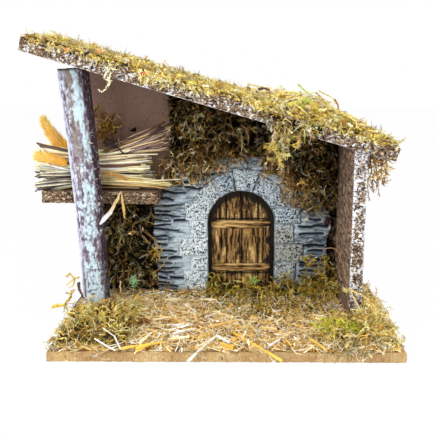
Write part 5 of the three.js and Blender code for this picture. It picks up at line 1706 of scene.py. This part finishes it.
def fan(count=105, seed=202):
    rng = seeded(seed)
    heap = Heap()
    for tone in pick_tones(FAN_TONES, count, rng, 0.12):
        high = rng.random()
        start = np.array([-122 + 30 * rng.random(), rng.uniform(46, 56), 156 + 8 * high * rng.random()])
        end = np.array([-53 - 12 * rng.random() ** 1.4, rng.uniform(44, 54), 160 + 26 * high + rng.normal(0,
            1)])
        husk = rng.random() < 0.12
        stalk(heap, start, end, 1.5 if husk else rng.uniform(0.3, 0.85), tone, rng, 0.6, 5, 5, 0.35 if husk
            else 1)
        roots = np.repeat(end[None], 2, axis=0)
        aims = unit(end - start) + rng.normal(0, 0.3, (2, 3))
        strew(heap, HAIRS, roots, aims, rng.uniform(2, 5, 2), tone, np.repeat(tone[None], 2, axis=0), rng)
    strand(heap, [(-119, 44, 167), (-107, 44, 164), (-98, 42, 155.5)], 1.0, "#2b1b1d", 204, 0.0, 0.0)
    strand(heap, [(-111, 44, 170), (-107, 44, 164)], 0.8, "#2b1b1d", 205, 0.0, 0.0)
    strand(heap, [(-104, 45, 171), (-103, 45, 166), (-105, 45, 163)], 0.4, "#b9966c", 206, 0.0, 0.0)
    return heap.mesh()


make_piece("straw_loose_fan", fan(), straw_finish, ["straw_fan"])

# %% [markdown]
# ### Grass ears
# Three golden ears stick out of the straw: thin stalks full of bristles that point to the tip.

# %% The three ears
ear_finish = washed_finish("ear_bristle", 0.7, 0.8, (1, 1, 1), 0.1, 0.15)


def ear(name, node, places, widths, y, count, seed, tones=("#ffc648", "#fff394")):
    rng = seeded(seed)
    heap = Heap()
    path = curve_through([(x, y, z) for x, z in places])
    heap.add(*tube(path, 0.6 * (1.1 - 0.6 * np.linspace(0, 1, len(path))), 5)[:2], "#c88d35")
    at = rng.random(count)
    width = np.interp(at, np.linspace(0, 1, len(widths)), widths)
    along = unit(place_on(np.gradient(path, axis=0), at))
    around = unit(np.cross(rng.normal(0, 1, (count, 3)), along)) * (1, 0.6, 1)
    roots = place_on(path, at) + around * (width * 0.55 * np.sqrt(rng.random(count)))[:, None] - along * 3
    aims = along * 1.2 + around * 0.5 + rng.normal(0, 0.12, (count, 3))
    colours = blend(*tones, smooth(at + 0.25 * rng.normal(size=count), 0, 0.8))
    # A fifth of the bristles are painted near-white, as highlights.
    colours = blend(colours, "#fffbdc", 0.8 * (rng.random(count) < 0.2)) * rng.normal(1, 0.14, (count, 1))
    strew(heap, BRISTLES, roots, aims, width * rng.uniform(0.9, 1.7, count), tones[0], colours, rng)
    make_piece(name, heap.mesh(), ear_finish, [node], True)


ear("ear_upper", "grass_ear_left_upper", [(-157, 161), (-163, 166), (-168, 171.5), (-172.5, 178),
    (-176.5, 185.5), (-178, 192.5)], (7, 7.5, 7, 6, 5, 3.6), 52, 1200, 211)
ear("ear_lower", "grass_ear_left_lower", [(-156, 149), (-171, 153), (-184, 155.5)], (5, 6, 6.2, 5), 39, 1000,
    212)
ear("ear_in_straw", "grass_ear_right", [(-97, 132.5), (-108, 137), (-120, 138)], (2, 3.2, 3.8), 37.4, 300,
    213, ("#d6a04c", "#ffe6a4"))

# %% [markdown]
# ### The dry leaf, the loose straws and the dried stem
# A folded leaf hangs over the shelf's edge, with some of the log's wash on it. Three straws lie near the
# front, and a thin stem leans on the wall.

# %% The dry leaf
def leaf_blade(heap, points, widths, tones, rng):
    """A narrow folded blade along a few places."""
    points = np.array(points, float)
    at = np.linspace(0, 1, 4 * len(points))
    path = place_on(points, at)
    path += 0.25 * rng.normal(0, 1, path.shape)
    rings = rings_along(path, place_on(np.array(widths)[:, None], at)[:, 0], 8, 0.2)
    shade = place_on(np.array([paint(code) for code in tones]), at)
    heap.add(*close_tube(rings, shade[:, None] * rng.normal(1, 0.1, (*rings.shape[:2], 1)).clip(0.75, 1.2)))


leaf_rng = seeded(221)
leaf_heap = Heap()
fold = box_of("dry_leaf")[1] - (3.2, 1, 1)
leaf_blade(leaf_heap, [fold, fold + (1.0, -2, -9), fold + (2.4, -4, -18), fold + (3.2, -5, -26)], [0.4, 1.5,
    1.7, 0.3], ["#f0cd8a", "#d7a95c", "#e2bd77"], leaf_rng)
leaf_blade(leaf_heap, [fold, fold + (-4, -6, -9), fold + (-8.5, -13, -17), fold + (-14, -20, -23),
    fold + (-17.5, -24, -27)], [0.5, 1.6, 2.0, 2.5, 0.7], ["#f3dcaa", "#e6c68c", "#eceff2", "#d5dfe9"],
    leaf_rng)
make_piece("leaf_folded", leaf_heap.mesh(), straw_finish, ["dry_leaf"])

# %% The loose straws
def lying(name, node, places, radius, tone, flat, seed):
    rng = seeded(seed)
    heap = Heap()
    for start, end in zip(places, places[1:]):
        stalk(heap, start, end, radius, tone, rng, 0, 8, 7, flat)
    make_piece(name, heap.mesh(), straw_finish, [node])


lying("lying_straw_1", "loose_straw_1", [(-30.5, -97, 6.2), (-7.5, -61.5, 13.4), (3.6, -74, 12.6)], 1.7,
    "#fffdf6", 0.6, 231)
lying("lying_straw_2", "loose_straw_2", [(6.5, -54, 13.2), (46.5, -97, 7.2)], 1.8, "#fbd25c", 0.5, 232)
lying("lying_straw_3", "loose_straw_3", [(71, -66, 13), (83, -88, 12.4)], 1.6, "#fbd468", 0.5, 233)

# %% The dried stem
STEM_ROUTE = [(86.7, -21, 77.5), (89.3, -21, 79.8), (94.6, -21, 80.3), (99, -21, 78), (101.8, -21.5, 74),
    (103, -22, 69.5), (106, -22, 60), (107.4, -22, 51.6), (111.7, -22.5, 44.5)]
STEM_FOOT = [(111.7, -23, 43), (113.2, -24, 38), (118.2, -27, 28.7), (121.6, -31, 22.3), (124.6, -37, 14.4),
    (127.6, -56, 13.4), (131.5, -70, 13), (138, -77, 12.6)]
stem = Heap()
strand(stem, STEM_ROUTE, 0.36, "#b98560", 241, 0.0, 0.0, 0.12)
strand(stem, STEM_FOOT, 0.85, "#fbe9b0", 242, 0.0, 0.0, 0.12)
strand(stem, [(105.5, -24, 44), (107, -24.5, 41), (109.2, -24.5, 41.3), (111.5, -24, 42.8)], 0.9, "#fff3a8",
    243, 2.6, 5.0)
make_piece("stem_dried", stem.mesh(), straw_finish, ["dried_stem"])

# %% Strands that stray: beside the log's foot, under the eaves
def on_plane(y, *places):
    return [(x, y, z) for x, z in places]


stray = Heap()
for seed, (radius, leaf, tone, places) in enumerate(((0.8, 2.2, "#e6c458", [(-148, -10, 49), (-145, -10, 52),
        (-141, -10, 47.7), (-136, -8, 48.3)]), (0.7, 1.6, "#f0cf62", on_plane(-10, (-141, 47.7), (-142, 42.4),
        (-146, 39))), (0.6, 1.6, "#f7dc78", on_plane(-10, (-141.5, 47), (-146, 44), (-149, 41))), (1.7, 2.4,
        "#f7d65c", on_plane(-10, (-163.4, 20.2), (-157, 21.5), (-151, 20.7))), (1.2, 2.6, "#e0bd58",
        on_plane(-10, (-152, 20.7), (-146, 28.9), (-144.5, 34.2), (-141.5, 36.5))), (0.8, 1.8, "#d8cf6a",
        [(-150.5, -10, 20.7), (-147, -16, 14), (-139, -28, 12)]), (0.6, 1.8, "#d8b95a", on_plane(-10,
        (-150, 34), (-146.5, 33), (-143.5, 33.6))), (0.5, 0.0, "#4a4650", [(-134, -12, 32.3), (-145.4, -20,
        16)])), 251):
    strand(stray, places, radius, tone, seed, leaf, 2.0 if leaf else 0.0)
moss_piece("strands_left", stray)

stray = Heap()
for seed, (radius, leaf, places) in enumerate(((0.6, 2.6, [(-101, -26, 239.7), (-96, -27, 238.4), (-90, -26,
        236.9)]), (0.6, 2.4, [(-95.5, -27, 242), (-96.5, -27.5, 237)]), (0.6, 1.8, [(-96, -27, 237.5),
        *on_plane(-28, (-99.5, 234), (-100.5, 231), (-98.5, 229), (-96, 231), (-96, 236))]), (1.2, 2.4,
        on_plane(-28, (-97.5, 230.5), (-96.3, 227), (-97.5, 224))), (0.5, 1.0, on_plane(-28, (-98, 225),
        (-100.6, 221), (-103.5, 219.3), (-106.5, 220.9)))), 261):
    strand(stray, places, radius, "#fff6cf", seed, leaf, 3.0)
moss_piece("strands_eaves", stray)

# %% A loose pile of pale strands right of the wall
stray = Heap()
strand(stray, [(106, -24, 43.3), (111.4, -25, 41.5), (118.7, -26, 39.5), (124.6, -27, 35.9), (130.5, -29,
    30.2), (133.9, -31, 27.1), (132.1, -34, 21.9), (128.5, -38, 17.2), (129, -48, 13.8), (131.5, -63, 13),
    (138.5, -76, 12.5)], 0.8, "#fbdf90", 271, 2.4, 1.8)
strand(stray, [(139.8, -34, 29.8), (144, -36, 24.4), (145.4, -38, 18.1), (150, -42, 12.7), (153.6, -46, 8.8),
    (156.9, -48, 6.6), (154, -52, 3.7)], 0.3, "#a8a58c", 272, 1.2, 0.4)
rng = seeded(273)
count = 210
spread = rng.random(count)
roots = columns(128 + 12 * spread + rng.normal(0, 2.6, count), -30 + 48 * rng.random(count) ** 1.2,
    11 + (24 - 17 * spread) * rng.random(count) ** 1.5)
PILE_TONES = [("#fff3bc", 3), ("#fbe08a", 3), ("#eef0a8", 2), ("#f3c168", 1.4), ("#e0c878", 1.2)]
spray(stray, TWINES + CURLS[:4] + FEATHERS, roots, (0.8, 0.8, 0.5), 0, (7, 14), "#e8cf84", PILE_TONES, rng,
    0.5)
moss_piece("strands_right", stray)

# %% Small chips: dark on the panel, brown beside the casting, and small tufts
chips = Heap()
root, tip = np.array([-91, PANEL_FRONT - 0.6, 176.4]), np.array([-98.5, PANEL_FRONT - 0.8, 175])
chips.add(*leaflet(root, tip, (0.5, 0, 2.6), (0, 1.4, 0)), "#2a1517")
strand(chips, [(99.5, 65.5, 79.5), (101.5, 64.8, 83.5), (101, 65.2, 87.5)], 2.6, "#4f3028", 281, 0.0, 0.0,
    0.5)
for seed, (radius, tone, places) in enumerate(((1.6, "#6b5a54", [(-143.2, 14, 35.5), (-141.8, 12, 28.6),
        (-137.8, 10, 20)]), (2.4, "#8f6238", [(-80, -30, 13.5), (-73, -31, 15.5), (-66.5, -34.5, 13.5)]),
        (0.9, "#f0c487", [(-103.5, 20, 35), (-103.6, 18, 24)]), (0.45, "#a5704f", on_plane(24, (-101.6, 45.4),
        (-101.8, 38.8), (-107.5, 36.7)))), 282):
    strand(chips, places, radius, tone, seed, 0.0, 0.0)
make_piece("bark_chips", chips.mesh(), bark_wash, [])
tufts = Heap()
rng = seeded(286)
SMALL_TUFTS = (((-72, 62, 51), "#ecc458", 44, (1.6, 0.8, 2.6)), ((-92, 32, 29), "#b8e0ac", 34, (1.8, 1.4,
    3.4)), ((-62, 58, 12), "#8f7434", 40, (7, 3, 2.6)), ((-46, 56, 11), "#a8763c", 20, (5, 3, 2)),
    ((28, 44, 27), "#b9e07c", 16, (2.2, 1.4, 1.4)), ((97, -56, 20), "#e2e04c", 130, (9, 5, 3)),
    ((108, -60, 21), "#c2c83c", 60, (6, 4, 2)), ((88, -50, 17), "#f6ee70", 60, (5, 3, 2)))
for place, tone, count, spread in SMALL_TUFTS:
    aims = rng.normal(0, 1, (count, 3)) + (0, -0.5, 0.3)
    roots = place + rng.normal(0, spread, (count, 3))
    tones = linear(tone) * rng.normal(1, 0.18, (count, 1)).clip(0.5, 1.5)
    strew(tufts, FRONDS, roots, aims, rng.uniform(4, 7, count), 0.5 * linear(tone), tones, rng)
moss_piece("moss_small_tufts", tufts)

# %% [markdown]
# ## Litter
# The base is covered with chopped straw, shavings and fibres. They lie flat over a tan mat, with a little
# moss, thicker towards the front corners.

# %% The litter
LITTER_TONES = [("#fff3cc", 3.4), ("#f5dc9c", 3.6), ("#e3b868", 2.2), ("#b98b50", 1.5), ("#fffdf6", 2.6),
    ("#fbd062", 1.8), ("#7f5936", 1)]


def scatter(heap, bits, places, aims, sizes, tones, rng):
    """Bits that lie with their middle at each place."""
    strew(heap, bits, places - unit(aims) * sizes[:, None] / 2, aims, sizes, (0, 0, 0), tones, rng, gamma=0.0)


def litter(strips=6200, hairs=1500, chips=110, seed=301):
    """The strips on their mat, and a heap of finer bits."""
    rng = seeded(seed)
    heap, fine = undergrowth("litter_mat", 0.6, "#8a6436", "#dcb878", 1, 0.5), Heap()
    pale = LITTER_TONES[:2] + LITTER_TONES[4:6]
    kinds = [(STRIPS, strips, 0.13, (-0.6, 1.2), rng.gamma(4, 1.6, strips).clip(2.5, 15), LITTER_TONES),
        (HAIRS, hairs, 0.2, (0, 1.6), rng.uniform(6, 15, hairs), LITTER_TONES[:3]),
        (SHAVINGS, 1100, 0.25, (0, 1.8), rng.uniform(5, 12, 1100), LITTER_TONES),
        (STRIPS[:3], chips, 0.06, (0.8, 2.2), rng.uniform(9, 22, chips), pale)]
    for bits, count, flatness, lift, sizes, tones in kinds:
        places, ways = spots_on("litter_mat", count, facing_up, rng)
        places[:, 2] += rng.uniform(*lift, count)
        aims = rng.normal(0, 1, (count, 3)) * (1, 1, flatness)
        scatter(heap if bits is STRIPS else fine, bits, places, aims, sizes, pick_tones(tones, count, rng),
            rng)
    return heap, fine


def strewn_floor(heap, moss, zone, height, count, seed):
    """Litter between two corners in X and Y, where the mat leaves the board free."""
    rng = seeded(seed)
    (left, front), (right, back) = zone
    x, y = rng.uniform(left, right, count), rng.uniform(front, back, count)
    places = columns(x, y, rng.uniform(*height, count))
    aims = rng.normal(0, 1, (count, 3)) * (1, 1, 0.15)
    scatter(heap, STRIPS, places, aims, rng.uniform(3, 11, count), pick_tones(LITTER_TONES, count, rng), rng)
    few = count // 2
    places = columns(rng.uniform(left, right, few), rng.uniform(front, back, few), np.full(few, 8.4))
    spray(moss, CURLS + FEATHERS, places, (1, 1, 0.3), 0, (5, 10), "#4a3718", FOOT_TONES + LITTER_TONES[:2],
        rng)


litter_finish = washed_finish("chopped_straw", 0.75, 0.8, (1, 1, 1), 0.1, 0.3)
strips, heap = litter()
make_piece("litter_chopped", strips.mesh(), litter_finish, ["litter_mat"], True)
moss = Heap()
strewn_floor(heap, moss, ((-146, 36), (-136, 82)), (8.3, 10), 90, 303)
strewn_floor(heap, moss, ((-140, 36), (112, 64)), (8.4, 11), 900, 304)
strewn_floor(heap, moss, ((126, -16), (148, 83)), (8.3, 10.5), 260, 305)

# straws that catch the eye: start, end, radius, tone
SHOWN_STRAWS = (((-4, -76, 13), (7, -85, 12.6), 2.0, "#eab64c"), ((-40, 12, 13), (-28, -5, 12.6), 1.7,
    "#fff8e0"), ((-20, -18, 12.8), (-9, -8, 13), 1.2, "#fffaf0"), ((-9, -6, 13), (9, -20, 13), 1.2,
    "#f7e6b0"), ((-16, -42, 13), (10, -27, 13.4), 2.2, "#ecc27a"), ((-46, -58, 13), (-27, -46, 13), 2.0,
    "#fffbee"), ((-73, -78, 13), (-65, -55, 13.4), 2.0, "#fdf0c4"), ((-74, -86, 12.6), (-60, -76, 13), 1.8,
    "#fbd45a"), ((24, -42, 13.2), (29, -60, 12.8), 1.4, "#fbe9b8"), ((36, -81, 12.8), (46, -68, 13), 1.7,
    "#fffdf8"), ((78, -42, 14), (92, -50, 13.5), 1.5, "#fff3c4"), ((31, -44, 13.4), (45, -46, 13.2), 2.0,
    "#efd296"), ((-24, 8, 13.5), (-20, -10, 13), 0.9, "#f2b648"), ((-28, -14, 13.5), (-23, -38, 13), 1.0,
    "#f0b850"), ((-52, -36, 13.3), (-41, -24, 13.8), 1.2, "#eeb44a"), ((-105, -65, 22), (-94, -72, 17.5), 0.6,
    "#fff8ec"), ((-94, -72, 17.5), (-86.5, -87, 12.6), 1.1, "#fffaf2"), ((-110, -76, 17), (-91, -88, 12), 0.9,
    "#fffdfa"), ((-86, -86, 12.4), (-51, -73, 12.8), 1.1, "#fbd052"), ((52, -70, 12.8), (55, -80, 12.8), 1.2,
    "#fbd560"))
rng = seeded(306)
for start, end, radius, tone in SHOWN_STRAWS:
    stalk(heap, start, end, radius, tone, rng, 0, 6, 5, 0.55)

# what hangs over the front edge, most of it near the right corner
EDGE_TONES = [("#a8a684", 2), ("#77775e", 2), ("#f0e0ac", 2), ("#c49a44", 1.6), ("#fffaf0", 1.8)]
count = 190
x = np.where(np.arange(count) < 120, rng.normal(108, 13, count), rng.uniform(-142, 146, count))
roots = columns(x.clip(-145, 146), rng.uniform(-86.2, -80, count), rng.uniform(7.5, 11.5, count))
spray(heap, HAIRS + CURLS[:3], roots, (1, 0.25, 0.5), (0, -0.25, -0.45), (5, 12), "#b39a66", EDGE_TONES, rng,
    0.5)
make_piece("litter_fine", heap.mesh(), litter_finish, ["litter_mat"], True)
grow(moss, "litter_mat", 420, MOUND_TONES, "#7d6230", 302, (5, 10), 0.25, 0.1, 0.5, TWINES + FEATHERS,
    facing_up)


def below_the_door(ways, middles):
    return facing_up(ways, middles) * np.exp(-((middles[:, 0] - 45) / 42) ** 2 - ((middles[:, 1] - 16)
        / 22) ** 2)


def front_corners(ways, middles):
    corner = np.exp(-((np.abs(middles[:, 0] + 6) - 118) / 26) ** 2 - ((middles[:, 1] + 70) / 9) ** 2)
    return facing_up(ways, middles) * (0.002 + corner)


grow(moss, "litter_mat", 230, FRONT_TONES, "#4a350f", 308, (5, 11), 0.25, 0.1, 0.2, CURLS + TWINES,
    front_corners)
grow(moss, "litter_mat", 640, FOOT_TONES, "#5b4316", 307, (6, 12), 0.2, 0.1, 0.2, FRONDS + CURLS,
    below_the_door)
moss_piece("moss_in_litter", moss)
print("litter:", piece_faces["litter_chopped"], "faces")
print("all pieces:", sum(piece_faces.values()), "faces")

# %% [markdown]
# ## Brads
# The boards are pinned with small steel brads, flush with the faces they were driven into.

# %% The brads
def steel_finish():
    finish = Finish("brushed_brad_steel", 0.35, 0.5)
    brush = finish.noise(0.25, 3, 0.6, (1, 1, 8))
    finish.colour(finish.mix(brush.step(0.3, 0.7), "#8b8b90", "#c2c3c8"))
    finish.shader.inputs["Metallic"].default_value = 1.0
    finish.bump(brush, 0.02, 0.4)
    return finish


brad_steel = steel_finish()
brads = sorted(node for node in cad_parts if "_brad_" in node)
for node in brads:
    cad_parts[node].data.materials[0] = brad_steel.material
print("brads:", len(brads))
